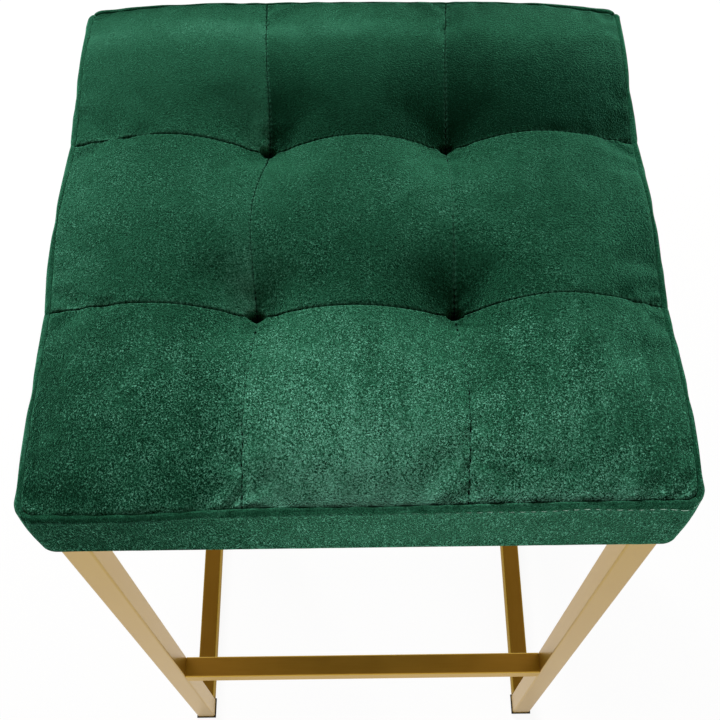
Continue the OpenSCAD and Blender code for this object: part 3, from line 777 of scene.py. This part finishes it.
def pile_leans(u, v, x, y):
    """How far the pile leans, and how open it stands together with the painted light and shade, at any point
    of the top.
    """
    row = np.clip(np.searchsorted(MARKS_V, v) - 1, 0, 2)
    share = (v - MARKS_V[row]) / (MARKS_V[row + 1] - MARKS_V[row])
    ramps = [np.clip((u - seam) * SEAM_HALF[0] / PILE_BLEND[row] + 0.5, 0, 1) for seam in MARKS_U[1:3]]
    first, second = (ramp * ramp * (3 - 2 * ramp) for ramp in ramps)

    def blend(table, rear=None):
        """The panels' own values, blended at their seams, and from the front to the rear of each."""
        values = table[row]
        front = values[..., 0] * (1 - first) + values[..., 1] * (first - second) + values[..., 2] * second
        return front if rear is None else front + (blend(rear) - front) * share

    from_front, from_rear = y + SEAM_HALF[1], SEAM_HALF[1] - y
    front_edge = bell(from_front, EDGE_REACH)
    # Painted highlights across the rear panels and at the front edge, and painted shade at the rear edge
    gleam = np.interp(u, REAR_GLEAM_AT, REAR_GLEAM) * bell(from_rear - REAR_GLEAM_IN, REAR_GLEAM_REACH)
    # Each panel's tone, painted lighter or darker for how the light falls on it
    open_and_painted = blend(OPEN_AND_PAINTED_AT_FRONT, OPEN_AND_PAINTED_AT_REAR) + through_table(OPEN_AND_PAINTED_MORE, u, v)
    open_and_painted = open_and_painted + gleam - REAR_EDGE_SHADE * bell(from_rear, EDGE_REACH)
    open_and_painted = open_and_painted + np.interp(u, FRONT_EDGE_AT, FRONT_EDGE_GLEAM) * front_edge
    # Painted shade in the creases
    open_and_painted = open_and_painted - CREASE_SHADE * crease_depth(x, y)
    # Painted light and shade round each tuft: lighter or darker behind it, and painted shade in its pit
    for (tuft_x, tuft_y), sides in zip(TUFTS, PAINTED_SHADING_BEHIND_TUFT):
        dx, dy = x - tuft_x, y - tuft_y
        fan = bell(np.hypot(dx / FAN_REACH[0], dy / FAN_REACH[1]), 1)
        side = np.where(x < tuft_x, *sides) * np.clip(dy / FAN_START, 0, 1)
        open_and_painted = open_and_painted + side * fan
        open_and_painted = open_and_painted - PIT_SHADE * bell(pit_distance(dx, dy), PIT_SPREAD, PIT_SOFTNESS)
    # A painted highlight just behind each row seam
    behind = np.where(y > TUFT_Y[1], y - TUFT_Y[1], np.where(y > TUFT_Y[0], y - TUFT_Y[0], np.inf))
    return {
        "pile_back": blend(LEAN_BACK_AT_FRONT, LEAN_BACK_AT_REAR) + FRONT_EDGE_LEAN * front_edge,
        "pile_left": blend(LEAN_LEFT),
        "pile_up": blend(LEAN_UP),
        "pile_open": open_and_painted + SEAM_GLEAM * bell(behind, SEAM_GLEAM_REACH),
    }


def edge_valley(u, v):
    """How far a grid point feels the seam that meets the edge beside it."""
    column, row = seam_distances(u * SEAM_HALF[0], v * SEAM_HALF[1])
    at_sides = np.abs(u) ** EDGE_POWER * np.exp(-row / DRAW_REACH)
    at_ends = np.abs(v) ** EDGE_POWER * np.exp(-column / DRAW_REACH)
    return np.maximum(at_sides, at_ends)


def top_points(cells, drop, fine=True):
    """The grid of the quilted top, lowered by drop, and where its points lie on the flat pattern."""
    u, v = np.meshgrid(grid_lines(cells, MARKS_U), grid_lines(cells, MARKS_V))
    draw = SIDE_DRAW * edge_valley(u, v)
    base_x, base_y = round_corners(u, v, *SEAM_HALF)
    z = height_of(u, v, base_x, base_y, fine)
    x, y = round_corners(u, v, SEAM_HALF[0] - GAP - draw, SEAM_HALF[1] - GAP - draw)
    if fine:
        edge = np.minimum((1 - np.abs(u)) * SEAM_HALF[0], (1 - np.abs(v)) * SEAM_HALF[1])
        z = z - EDGE_DIP * np.exp(-edge / EDGE_DIP_REACH)
    dx, dy = wander(u, v)
    return np.stack([x + dx, y + dy, z - drop], -1), (u, v, base_x, base_y)


print("surface rule ready")

# %% [markdown]
# ## The band's shape
# Four strips of velvet go round the foam, sewn to the top along the edge seam and to each other at the
# corners. From the seam the cloth rolls over a rounded shoulder, falls to the frame, and turns in under
# the board. A topstitch runs round the shoulder and presses a fine line into it. The section is a curve
# with a run, the distance along the cloth, so that the seam's groove and the stitch line are placed
# where a sewer would measure them.

# %% The rule of the band
SHOULDER, HEM_R, HEM_W, BULGE = 8.0, 6.0, 34.0, 0.7
EASE, FULLNESS, CROWDING = 0.3, 0.75, 1.5
TOPSTITCH_RUN = 8.2
# How deep the cloth is pulled in at the seam and at the topstitch, how wide, and how it puffs between
SEAM_DENT, STITCH_DENT, DENT_REACH, PUFF = 0.7, 0.5, 0.6, 0.1
FINE_LEVELS = (26, 18, 10, 5)


def band_section(depth, fine=True, counts=FINE_LEVELS):
    """Inset, height and share of the edge's waves at each level, with the run along the cloth."""
    over = np.linspace(0, 1, counts[0]) ** CROWDING * np.pi / 2
    fall, under, flat = (np.linspace(0, 1, count + 1)[1:] for count in counts[1:])
    under = under * np.pi / 2
    inset = np.concatenate([
        SEAM_INSET - (SEAM_INSET - depth - EASE) * np.sin(over) ** FULLNESS,
        depth + EASE * (1 - fall) - BULGE * np.sin(np.pi * fall),
        HEM_R - (HEM_R - depth) * np.cos(under),
        HEM_R + (HEM_W - HEM_R) * flat])
    z = np.concatenate([
        EDGE_Z - SHOULDER + (SHOULDER - depth) * np.abs(np.cos(over)) ** FULLNESS,
        EDGE_Z - SHOULDER + (FRAME_TOP + HEM_R - EDGE_Z + SHOULDER) * fall,
        FRAME_TOP + HEM_R - (HEM_R - depth) * np.sin(under),
        FRAME_TOP + depth + 0 * flat])
    # The waves of the edge fade by a quarter round the shoulder, and die out at the hem
    share = np.concatenate([1 - np.degrees(over) / 360, 0.75 * (1 - fall), 0 * under, 0 * flat])
    run = np.concatenate([[0], np.cumsum(np.hypot(np.diff(inset), np.diff(z)))])
    if fine:
        slope_in, slope_z = np.gradient(inset, run), np.gradient(z, run)
        length = np.hypot(slope_in, slope_z)
        dent = SEAM_DENT * np.exp(-run / DENT_REACH) + STITCH_DENT * bell(run - TOPSTITCH_RUN, DENT_REACH)
        dent = dent - PUFF * np.sin(np.pi * np.clip(run / TOPSTITCH_RUN, 0, 1))
        inset = inset - dent * slope_z / length
        z = z + dent * slope_in / length
    return inset, z, share, run


def strip_stations(first, cells):
    """Grid lines met along one side, from corner to corner: front, right, rear and left."""
    last = 3 * cells
    count = np.arange(last + 1)
    near, far = count * 0, count * 0 + last
    return [(count, near), (far, count), (last - count, far), (near, last - count)][first]


def band_points(first, cells, section):
    """Points of one strip for every station and level."""
    inset, z, share, _ = section
    i, j = strip_stations(first, cells)
    u, v = grid_lines(cells, MARKS_U)[i], grid_lines(cells, MARKS_V)[j]
    edge_x, edge_y = round_corners(u, v, *SEAM_HALF)
    rise = height_of(u, v, edge_x, edge_y, False) - EDGE_Z
    stations = (u, v, rise, *wander(u, v), edge_valley(u, v))
    u, v, rise, dx, dy, valley = (values[:, None] for values in stations)
    reach = inset[None] + SIDE_DRAW * share[None] * valley
    x, y = round_corners(u + 0 * reach, v + 0 * reach, SEAT_HALF[0] - reach, SEAT_HALF[1] - reach)
    return np.stack([x + dx * share, y + dy * share, z + share * rise], -1)


print("band rule ready")

# %% [markdown]
# ## Letting the velvet settle
# The real cover is cut a little larger than the foam and lies on it under slight pressure, so it has
# soft wrinkles that no formula gives. A coarse copy of the top and the four strips is simulated as
# cloth: sewn fast along the quilting, the edge seam, the corners and the hem, pushed from inside, and
# left free between. How far each point moved is kept, and the fine pieces move the same way. It is
# done before the stitches are placed, because the stitches ride on the result.

# %% Simulate a coarse cover
SIM_CELLS = 20
SIM_SIDE = 3 * SIM_CELLS + 1
SIM_LEVELS = (5, 9, 4, 2)
SIM_FRAMES = 20
# The farthest that a point may move, and how much of its move the band keeps
MOST_MOVE, BAND_SHARE = 5.0, 0.45
CLOTH = {
    "quality": 8, "mass": 0.5, "tension_stiffness": 20, "compression_stiffness": 20,
    "shear_stiffness": 10, "bending_stiffness": 4.0, "shrink_min": -0.010,
    "vertex_group_mass": "sewn_fast", "use_pressure": True, "uniform_pressure_force": 4,
}


def coarse_patches():
    """Points, faces and sewn points of the top and of each strip."""
    sewn = np.arange(SIM_SIDE) % SIM_CELLS == 0
    grids = [(top_points(SIM_CELLS, 0, False)[0], sewn[:, None] | sewn[None, :])]
    section = band_section(0, False, SIM_LEVELS)
    hem_from = SIM_LEVELS[0] + SIM_LEVELS[1]
    for first in range(4):
        strip = band_points(first, SIM_CELLS, section)
        fast = np.zeros(strip.shape[:2], bool)
        fast[:, 0] = fast[:, hem_from:] = True
        fast[0] = fast[-1] = True
        grids.append((strip, fast))
    patches = []
    for count, (grid, fast) in enumerate(grids):
        quads = grid_faces(*grid.shape[:2])[0]
        patches.append((grid.reshape(-1, 3), quads[:, ::-1] if count else quads, np.flatnonzero(fast)))
    return patches


def blown(rest, quads, fast):
    """Where the points of a sewn cover lie after some frames under pressure from inside."""
    blank = new_object("coarse_cover", new_mesh("coarse_cover", rest, quads.tolist()))
    blank.vertex_groups.new(name="sewn_fast").add(fast.tolist(), 1.0, "ADD")
    cloth = blank.modifiers.new("velvet", "CLOTH")
    for key, value in CLOTH.items():
        setattr(cloth.settings, key, value)
    cloth.settings.effector_weights.gravity = 0
    cloth.collision_settings.use_collision = False
    cloth.point_cache.frame_start = 1
    cloth.point_cache.frame_end = SIM_FRAMES
    for count in range(1, SIM_FRAMES + 1):
        bpy.context.scene.frame_set(count)
    settled = blank.evaluated_get(bpy.context.evaluated_depsgraph_get()).to_mesh()
    found = np.empty(len(rest) * 3)
    settled.vertices.foreach_get("co", found)
    bpy.context.scene.frame_set(1)
    bpy.data.objects.remove(blank)
    return found.reshape(-1, 3) / MM


def settle_cover():
    """How far every coarse point moved, patch by patch, and the farthest move before the cap."""
    patches = coarse_patches()
    starts = np.cumsum([0] + [len(points) for points, _, _ in patches])
    rest = np.concatenate([points for points, _, _ in patches])
    moved = np.zeros_like(rest)
    quads = np.concatenate([patch[1] + start for patch, start in zip(patches, starts)])
    fast = np.concatenate([patch[2] + start for patch, start in zip(patches, starts)])
    moved = blown(rest, quads, fast) - rest
    length = np.linalg.norm(moved, axis=1, keepdims=True)
    moved = moved * MOST_MOVE * np.tanh(length / MOST_MOVE) / np.maximum(length, 1e-9)
    return [moved[start:stop] for start, stop in zip(starts[:-1], starts[1:])], float(length.max())


cover_moves, furthest = settle_cover()
print("coarse cover moved at most", round(furthest, 2), "mm before the cap")

# %% Carry the settled shape to finer grids
# Over how many stations from a corner the strips come to their full move
CORNER_STATIONS = 4


def carry_panels(cells):
    """Weights that take values from the coarse grid lines to finer ones, panel by panel."""
    coarse, fine = np.arange(SIM_CELLS + 1) / SIM_CELLS, np.arange(cells + 1) / cells
    block = np.stack([through(coarse, unit, fine) for unit in np.eye(SIM_CELLS + 1)], 1)
    weights = np.zeros((3 * cells + 1, SIM_SIDE))
    for panel in range(3):
        rows = slice(panel * cells, (panel + 1) * cells + 1)
        weights[rows, panel * SIM_CELLS:(panel + 1) * SIM_CELLS + 1] = block
    return weights


def settled_top(cells, drop):
    points, pattern = top_points(cells, drop)
    weights = carry_panels(cells)
    moves = cover_moves[0].reshape(SIM_SIDE, SIM_SIDE, 3)
    return points + np.einsum("ia,jb,abc->ijc", weights, weights, moves), pattern


def settled_band(first, cells, section, runs):
    """runs is the distance along the cloth of each level, as on the cover itself."""
    points = band_points(first, cells, section)
    coarse_runs = band_section(0, False, SIM_LEVELS)[3]
    level_weights = np.stack([np.interp(runs, coarse_runs, unit) for unit in np.eye(len(coarse_runs))], 1)
    moves = BAND_SHARE * cover_moves[1 + first].reshape(SIM_SIDE, len(coarse_runs), 3)
    from_end = np.minimum(np.arange(SIM_SIDE), np.arange(SIM_SIDE)[::-1])
    moves = moves * (1 - bell(from_end, CORNER_STATIONS))[:, None, None]
    return points + np.einsum("ia,jb,abc->ijc", carry_panels(cells), level_weights, moves)


print("carry ready")

# %% [markdown]
# ## The cover
# The quilted top and the four strips are separate cut pieces, so each is its own closed shell of
# velvet 1.5 mm thick. The top carries the distance to its nearest seam, a strip the distance to its
# topstitch, and both a count of stitches along that line, for the needle holes that the finish paints
# dark as shade. The column seams of the front row were sewn with longer stitches than the rest.

# %% The quilted top
CELLS = 64
QUILT_PITCH, FRONT_PITCH, EDGE_PITCH = 4.0, 6.0, 6.0


def unit_length(vectors):
    return vectors / np.linalg.norm(vectors, axis=-1, keepdims=True)


def arc_along(line):
    """How far each point of a line is from its start."""
    steps = np.linalg.norm(np.diff(line, axis=0), axis=1)
    return np.concatenate([[0], np.cumsum(steps)])


def stitch_count(arc):
    """Stitches along a column seam, longer up to the first row seam."""
    return np.minimum(arc, arc[CELLS]) / FRONT_PITCH + np.maximum(arc - arc[CELLS], 0) / QUILT_PITCH


def make_top():
    upper, pattern = settled_top(CELLS, 0)
    base_x, base_y = pattern[2:]
    column, row = seam_distances(base_x, base_y)
    rows = [arc_along(upper[k * CELLS])[None, :] / QUILT_PITCH for k in (1, 2)]
    columns = [stitch_count(arc_along(upper[:, k * CELLS]))[:, None] for k in (1, 2)]
    count_row = np.where(base_y < sum(TUFT_Y) / 2, *rows)
    count_column = np.where(base_x < 0, *columns)
    layers = pile_leans(*pattern)
    layers["seam_gap"] = np.minimum(column, row)
    layers["seam_count"] = np.where(row < column, count_row, count_column)
    layers = {key: np.tile(values.ravel(), 2) for key, values in layers.items()}
    lower = upper - [0, 0, COVER]
    made = make_shell("quilted_top", upper, lower, velvet, "quilted_top_panel", "green_velvet", layers)
    return made, upper


quilted_top, top_surface = make_top()
print("quilted top", len(quilted_top.data.polygons), "faces")

# %% The four strips of the band
STRIP_WAYS = np.array([[1, 0, 0], [0, 1, 0], [-1, 0, 0], [0, -1, 0]], float)
# How deep a strip turns in where it is sewn to its neighbour, how wide, and the level it is measured on
TUCK, TUCK_REACH, TUCK_LEVEL = 0.9, 0.8, 30
# Added to the run of the inner layer, which has no seam and no stitches
LINING_RUN = 50


def strip_rings(first):
    """Outer and inner layers of one strip, tucked in where it is sewn to its neighbours."""
    run = band_section(0)[3]
    outer = settled_band(first, CELLS, band_section(0), run)
    inner = settled_band(first, CELLS, band_section(COVER), run)
    travel = arc_along(outer[:, TUCK_LEVEL])
    corner = np.minimum(travel, travel[-1] - travel)
    outward = unit_length(outer - inner)
    tuck = (TUCK * np.exp(-corner / TUCK_REACH))[:, None, None] * outward
    for layer in (outer, inner):
        layer -= tuck
        layer[0] += STRIP_WAYS[first] * GAP / 2
        layer[-1] -= STRIP_WAYS[first] * GAP / 2
    return outer, inner, outward, run, travel


def make_strip(side, rings):
    outer, inner, _, run, travel = rings
    stations, levels = outer.shape[:2]
    runs = np.tile(run, stations)
    runs = np.concatenate([runs, runs + LINING_RUN])
    travels = np.tile(np.repeat(travel, levels), 2)
    layers = {
        "seam_gap": np.abs(runs - TOPSTITCH_RUN),
        "seam_count": travels / EDGE_PITCH,
        "pile_pressed": np.clip((TOPSTITCH_RUN + 1 - runs) / 2, 0, 1),
    }
    # The front strip is painted lighter or darker along it and round its shoulder, and the left strip is
    # painted lighter above its topstitch
    if side == "front":
        stops, share = np.linspace(0, 1, 7), travels / travel[-1]
        layers["pile_open"] = through(stops, OPEN_AND_PAINTED_FRONT_STRIP, share) + np.interp(runs, *PAINTED_SHADING_ROUND_SHOULDER)
        layers["pile_up"] = through(stops, UP_FRONT_STRIP, share)
    if side == "left":
        layers["pile_open"] = layers["pile_pressed"] * PAINTED_LIGHT_LEFT_SHOULDER
    made = make_shell(f"{side}_velvet", outer, inner, velvet, f"{side}_band_strip", "green_velvet", layers)
    return made


band_rings = [strip_rings(first) for first in range(4)]
strips = [make_strip(side, rings) for side, rings in zip(("front", "right", "rear", "left"), band_rings)]
print("strips", [len(strip.data.polygons) for strip in strips])

# %% [markdown]
# ## The foam
# One block of foam fills the cover and hooks over the edge of the board. It follows the quilting from
# below, and the tufting twine goes down through it.

# %% Tubes and bores
DRILL_SIDES = 16


def tubes(paths, radius, sides):
    """Points and faces of round tubes along several paths, their ends closed."""
    points, faces = [], []
    around = np.linspace(0, math.tau, sides, endpoint=False)
    for path in paths:
        start = len(points)
        way = unit_length(np.gradient(path, axis=0))
        # Any direction that no path starts along, to turn the first ring from
        side = np.cross(way[0], [0.3, 0.9, 0.31])
        for place, ahead in zip(path, way):
            side = unit_length(side - ahead * (side @ ahead))
            other = np.cross(ahead, side)
            points += [place + radius * (math.cos(turn) * side + math.sin(turn) * other) for turn in around]
        for low in range(start, len(points) - sides, sides):
            ring = [(low + k, low + (k + 1) % sides) for k in range(sides)]
            faces += [[here, after, after + sides, here + sides] for here, after in ring]
        faces += [list(range(start, start + sides))[::-1], list(range(len(points) - sides, len(points)))]
    return points, faces


def settle(piece):
    """Replace a piece's mesh by what its modifiers make of it."""
    graph = bpy.context.evaluated_depsgraph_get()
    made = bpy.data.meshes.new_from_object(piece.evaluated_get(graph))
    piece.modifiers.clear()
    piece.data = made


def bore(piece, ends, radius):
    """Round holes through a piece, each from one point to another."""
    drill = new_object("drill", new_mesh("drill", *tubes(np.array(ends, float), radius, DRILL_SIDES)))
    cut = piece.modifiers.new("bore", "BOOLEAN")
    cut.object = drill
    cut.operation = "DIFFERENCE"
    cut.solver = "EXACT"
    settle(piece)
    bpy.data.objects.remove(drill)


print("tubes and bores ready")

# %% Foam filling
BOARD_TOP, BOARD_LIP, BOARD_CLEAR = 640.5, 633.0, 5.7
TAIL_Z, TAIL_LENGTH = 627.9, 18.0
FOAM_CELLS, FOAM_LEVELS, FOAM_DEPTH, FOAM_AIR = 32, (7, 7, 0, 0), 2.2, 0.6
TWINE_HOLE = 1.6
# A run past the hem, so that the foam at the board doesn't move
PAST_HEM = 200


def tuft_feet():
    """Where each tuft is sewn: the bottom of its pit, and the hole in the board below it."""
    lines = [(row * CELLS, column * CELLS) for column in (1, 2) for row in (1, 2)]
    return [(top_surface[line], np.array([*tuft, TAIL_Z])) for line, tuft in zip(lines, TUFTS)]


def make_foam():
    upper = settled_top(FOAM_CELLS, FOAM_DEPTH + FOAM_AIR)[0]
    # The section of the band's inside, ended by the lip that hooks over the board
    hooks = ([BOARD_CLEAR, BOARD_CLEAR], [BOARD_LIP, BOARD_TOP], [0, 0], [PAST_HEM, PAST_HEM])
    section = band_section(FOAM_DEPTH, False, FOAM_LEVELS)
    section = [np.concatenate([values[1:], hook]) for values, hook in zip(section, hooks)]
    wall = np.concatenate([settled_band(first, FOAM_CELLS, section, section[3])[:-1] for first in range(4)])
    ring, levels = wall.shape[:2]
    quads, rim = grid_faces(*upper.shape[:2])
    total = len(upper) ** 2
    table = np.concatenate([rim[:, None], total + np.arange(ring * levels).reshape(ring, levels)], 1)
    after = np.roll(table, -1, axis=0)
    around = np.stack([table[:, :-1], table[:, 1:], after[:, 1:], after[:, :-1]], -1).reshape(-1, 4)
    middle = total + ring * levels
    under = [[int(after[k, -1]), int(table[k, -1]), middle] for k in range(ring)]
    points = np.concatenate([upper.reshape(-1, 3), wall.reshape(-1, 3), [[0, 0, BOARD_TOP]]])
    faces = quads.tolist() + around.tolist() + under
    made = make_piece("foam_filling", points, faces, foam, "foam_core", "foam")
    # Each bore starts below the foam and ends above the velvet
    bore(made, [(hole - [0, 0, 5], pit + [0, 0, 8]) for pit, hole in tuft_feet()], TWINE_HOLE)
    return made


foam_filling = make_foam()
print("foam", len(foam_filling.data.polygons), "faces")

# %% [markdown]
# ## The tufting twine
# A waxed two-ply twine holds each tuft. It loops over the velvet at the bottom of the pit, goes down
# through the foam and a hole in the board, and is stapled flat under the board with a short tail.

# %% Twisted twine
PLY, PLY_SIDES, TWIST, TWINE_STEP = 0.30, 6, 4.0, 0.5


def smooth_path(corners, spacing):
    """A path through a few corners, evenly spaced and rounded, and how far along it each point is."""
    corners = np.array(corners, float)
    for _ in range(3):
        here, there = corners[:-1], corners[1:]
        cut = np.stack([here * 0.75 + there * 0.25, here * 0.25 + there * 0.75], 1)
        corners = np.concatenate([corners[:1], cut.reshape(-1, 3)[1:-1], corners[-1:]])
    travel = arc_along(corners)
    at = np.arange(0, travel[-1], spacing)
    return np.stack([np.interp(at, travel, corners[:, axis]) for axis in range(3)], 1), at


def make_twines():
    strands = []
    for pit, hole in tuft_feet():
        tail = hole - [math.copysign(TAIL_LENGTH, hole[0]), 0, 0]
        # From the tail up one side of the pit's bottom, over the velvet, and down again into the foam
        over = pit + [0, 0, 0.9]
        loop = [pit - [1.3, 0, 3], over - [1.0, 0, 0], over + [1.0, 0, 0], pit + [1.3, 0, -3]]
        corners = [tail, hole, (hole + pit) / 2, *loop, pit + [0.9, 0, -9]]
        path, at = smooth_path(corners, TWINE_STEP)
        way = unit_length(np.gradient(path, axis=0))
        side = unit_length(np.cross(way, [0.0, 1.0, 0.0]))
        other = np.cross(way, side)
        for ply in (0, math.pi):
            turn = (at * math.tau / TWIST + ply)[:, None]
            strands.append(path + PLY * (np.cos(turn) * side + np.sin(turn) * other))
    return make_piece("tufting_twine", *tubes(strands, PLY, PLY_SIDES), waxed_twine, "tuft_twines", "twine")


tufting_twine = make_twines()
print("twine", len(tufting_twine.data.polygons), "faces")

# %% [markdown]
# ## The dust cover
# A sheet of black bonded cloth closes the underside. It is cut to the opening, stapled all round and
# pulled tight, so it has small scallops between the staples and a slight sag in the middle.

# %% Dust cover
DUST_SIZE = (335.0, 340.0)
DUST_THICK = 0.5
DUST_CELLS, EDGE_CROWDING = 84, 0.9
SAG, SCALLOP = 2.0, 0.35
STAPLE_PITCH, STAPLE_IN, STAPLE_REACH = 27.0, 14, 12
# The cloth lies flat at its corners: how far out it is still free, and over how much more it settles
FREE_HALF, SETTLE_REACH = 95, 55
SCREWS = [(x, y) for x in (-151.5, 151.5) for y in (-154.0, 154.0)]
SCREW_HOLE = 3.0


def make_dust_cover():
    share = np.linspace(-1, 1, DUST_CELLS + 1)
    share = np.sign(share) * np.abs(share) ** EDGE_CROWDING
    u, v = np.meshgrid(share, share)
    x, y = u * DUST_SIZE[0] / 2, v * DUST_SIZE[1] / 2
    past = np.hypot(np.maximum(np.abs(x) - FREE_HALF, 0), np.maximum(np.abs(y) - FREE_HALF, 0))
    clear = np.clip(1 - past / SETTLE_REACH, 0, 1)
    sag = SAG * (1 - u * u) * (1 - v * v) * clear * clear * (3 - 2 * clear)
    from_side, from_end = DUST_SIZE[0] / 2 - np.abs(x), DUST_SIZE[1] / 2 - np.abs(y)
    near_staples = bell(np.minimum(from_side, from_end) - STAPLE_IN, STAPLE_REACH)
    along = np.where(from_side < from_end, y, x)
    ripple = np.cos(along / STAPLE_PITCH * math.tau) * near_staples * clear
    z = FRAME_TOP - DUST_THICK - sag - SCALLOP * (ripple + 1) * near_staples * clear
    lower = np.stack([x, y, z], -1)
    upper = lower + [0, 0, DUST_THICK]
    made = make_shell("stapled_dust_cover", upper, lower, dust_cloth, "dust_cover", "dust_cloth")
    bore(made, [((x, y, 610.0), (x, y, 640.0)) for x, y in SCREWS], SCREW_HOLE)
    return made


stapled_dust_cover = make_dust_cover()
print("dust cover", len(stapled_dust_cover.data.polygons), "faces")

# %% [markdown]
# ## Stitches
# There are three families. The quilting is a row of short stitches in the bottom of each groove. The
# front row has its own, longer in pitch and sunk deep in the pile, so only a short knot of each shows.
# The topstitch runs round the band near its upper edge. Each family is one node tree with named
# inputs: it walks along a carrier line at the stitch pitch and lays a bent thread at each step, turned
# to the line and lifted off the velvet. The tree is then made into a plain mesh.

# %% A sewing machine of nodes
SMALLEST, LARGEST = 0.88, 1.1
INPUTS = {"Carrier": "Geometry", "Pitch": "Float", "Length": "Float", "Thread radius": "Float",
          "Rise": "Float", "Seed": "Int", "Thread": "Material"}


def sewing_machine():
    tree = bpy.data.node_groups.new("sewing_machine", "GeometryNodeTree")
    for name, kind in INPUTS.items():
        tree.interface.new_socket(name, in_out="INPUT", socket_type="NodeSocket" + kind)
    tree.interface.new_socket("Stitches", in_out="OUTPUT", socket_type="NodeSocketGeometry")
    board = Board(tree)
    given = {name: board.add("NodeGroupInput", out=name) for name in INPUTS}
    line = board.add("GeometryNodeMeshToCurve", {"Mesh": given["Carrier"]})
    walk = board.add("GeometryNodeCurveToPoints", {"Curve": line, "Length": given["Pitch"]}, mode="LENGTH")
    ahead = Wire(board, walk.socket.node.outputs["Tangent"])
    up = board.add("GeometryNodeInputNamedAttribute", {"Name": "seam_up"}, data_type="FLOAT_VECTOR")
    turn = board.add("FunctionNodeAxesToRotation", {"Primary Axis": ahead, "Secondary Axis": up},
                     primary_axis="X", secondary_axis="Z")
    half = given["Length"] * 0.5
    start = board.add("ShaderNodeCombineXYZ", {"X": half * -1.0, "Z": given["Rise"] * -1.0})
    middle = board.add("ShaderNodeCombineXYZ", {"Z": given["Rise"] * 2.0})
    stop = board.add("ShaderNodeCombineXYZ", {"X": half, "Z": given["Rise"] * -1.0})
    bow = {"Resolution": 4, "Start": start, "Middle": middle, "End": stop}
    bend = board.add("GeometryNodeCurveQuadraticBezier", bow)
    ring = {"Resolution": 6, "Radius": given["Thread radius"]}
    thread = board.add("GeometryNodeCurvePrimitiveCircle", ring)
    closed = {"Curve": bend, "Profile Curve": thread, "Fill Caps": True}
    stitch = board.add("GeometryNodeCurveToMesh", closed)
    size = board.add("FunctionNodeRandomValue", {2: SMALLEST, 3: LARGEST, "Seed": given["Seed"]}, 1,
                     data_type="FLOAT")
    laid = board.add("GeometryNodeInstanceOnPoints",
                     {"Points": walk, "Instance": stitch, "Rotation": turn, "Scale": size})
    real = board.add("GeometryNodeRealizeInstances", {"Geometry": laid})
    soft = board.add("GeometryNodeSetShadeSmooth", {0: real})
    dressed = board.add("GeometryNodeSetMaterial", {"Geometry": soft, "Material": given["Thread"]})
    board.add("NodeGroupOutput", {"Stitches": dressed})
    return tree


def sew(name, lines, ups, thread, seed, **sizes):
    """Stitches along several lines, as one plain mesh. The sizes are in millimetres."""
    edges, start = [], 0
    for line in lines:
        edges += [(start + k, start + k + 1) for k in range(len(line) - 1)]
        start += len(line)
    mesh = new_mesh(name, np.concatenate(lines), [], edges)
    layer = mesh.attributes.new("seam_up", "FLOAT_VECTOR", "POINT")
    layer.data.foreach_set("vector", np.concatenate(ups).astype(np.float32).ravel())
    made = new_object(name, mesh)
    tool = made.modifiers.new("sew", "NODES")
    tool.node_group = machine
    # The tree's inputs are named like the sizes, but with a capital letter and spaces
    inputs = {key.capitalize().replace("_", " "): size * MM for key, size in sizes.items()}
    inputs.update({"Seed": seed, "Thread": thread})
    for item in machine.interface.items_tree:
        if item.name in inputs:
            tool[item.identifier] = inputs[item.name]
    settle(made)
    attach(made, "root")
    return made


machine = sewing_machine()
print("machine nodes", len(machine.nodes))

# %% Sew the quilting and the topstitch
# Stations of a strip left free of stitches at each of its ends
FREE_STATIONS = 6


def sew_quilting(name, lines, **sizes):
    ups = [np.tile([0.0, 0.0, 1.0], (len(line), 1)) for line in lines]
    return sew(name, lines, ups, quilting_thread, **sizes)


row_lines = [top_surface[k * CELLS, 2:-2] for k in (1, 2)]
column_lines = [top_surface[CELLS:-2, k * CELLS] for k in (1, 2)]
front_lines = [top_surface[2:CELLS + 1, k * CELLS] for k in (1, 2)]
quilting = sew_quilting(
    "quilting_stitches", row_lines + column_lines,
    seed=3, pitch=QUILT_PITCH, length=2.7, thread_radius=0.45, rise=0.35)
front_quilting = sew_quilting(
    "front_quilting_stitches", front_lines,
    seed=4, pitch=FRONT_PITCH, length=1.8, thread_radius=0.60, rise=0.25)

edge_lines, edge_ups = [], []
for outer, _, outward, run, _ in band_rings:
    level_of_stitch = int(np.argmin(np.abs(run - TOPSTITCH_RUN)))
    sewn = slice(FREE_STATIONS, -FREE_STATIONS)
    edge_lines.append(outer[sewn, level_of_stitch])
    edge_ups.append(outward[sewn, level_of_stitch])
topstitch = sew(
    "edge_topstitch", edge_lines, edge_ups, topstitch_thread,
    seed=5, pitch=EDGE_PITCH, length=4.2, thread_radius=0.27, rise=0.3)
print("stitch faces", [len(made.data.polygons) for made in (quilting, front_quilting, topstitch)])
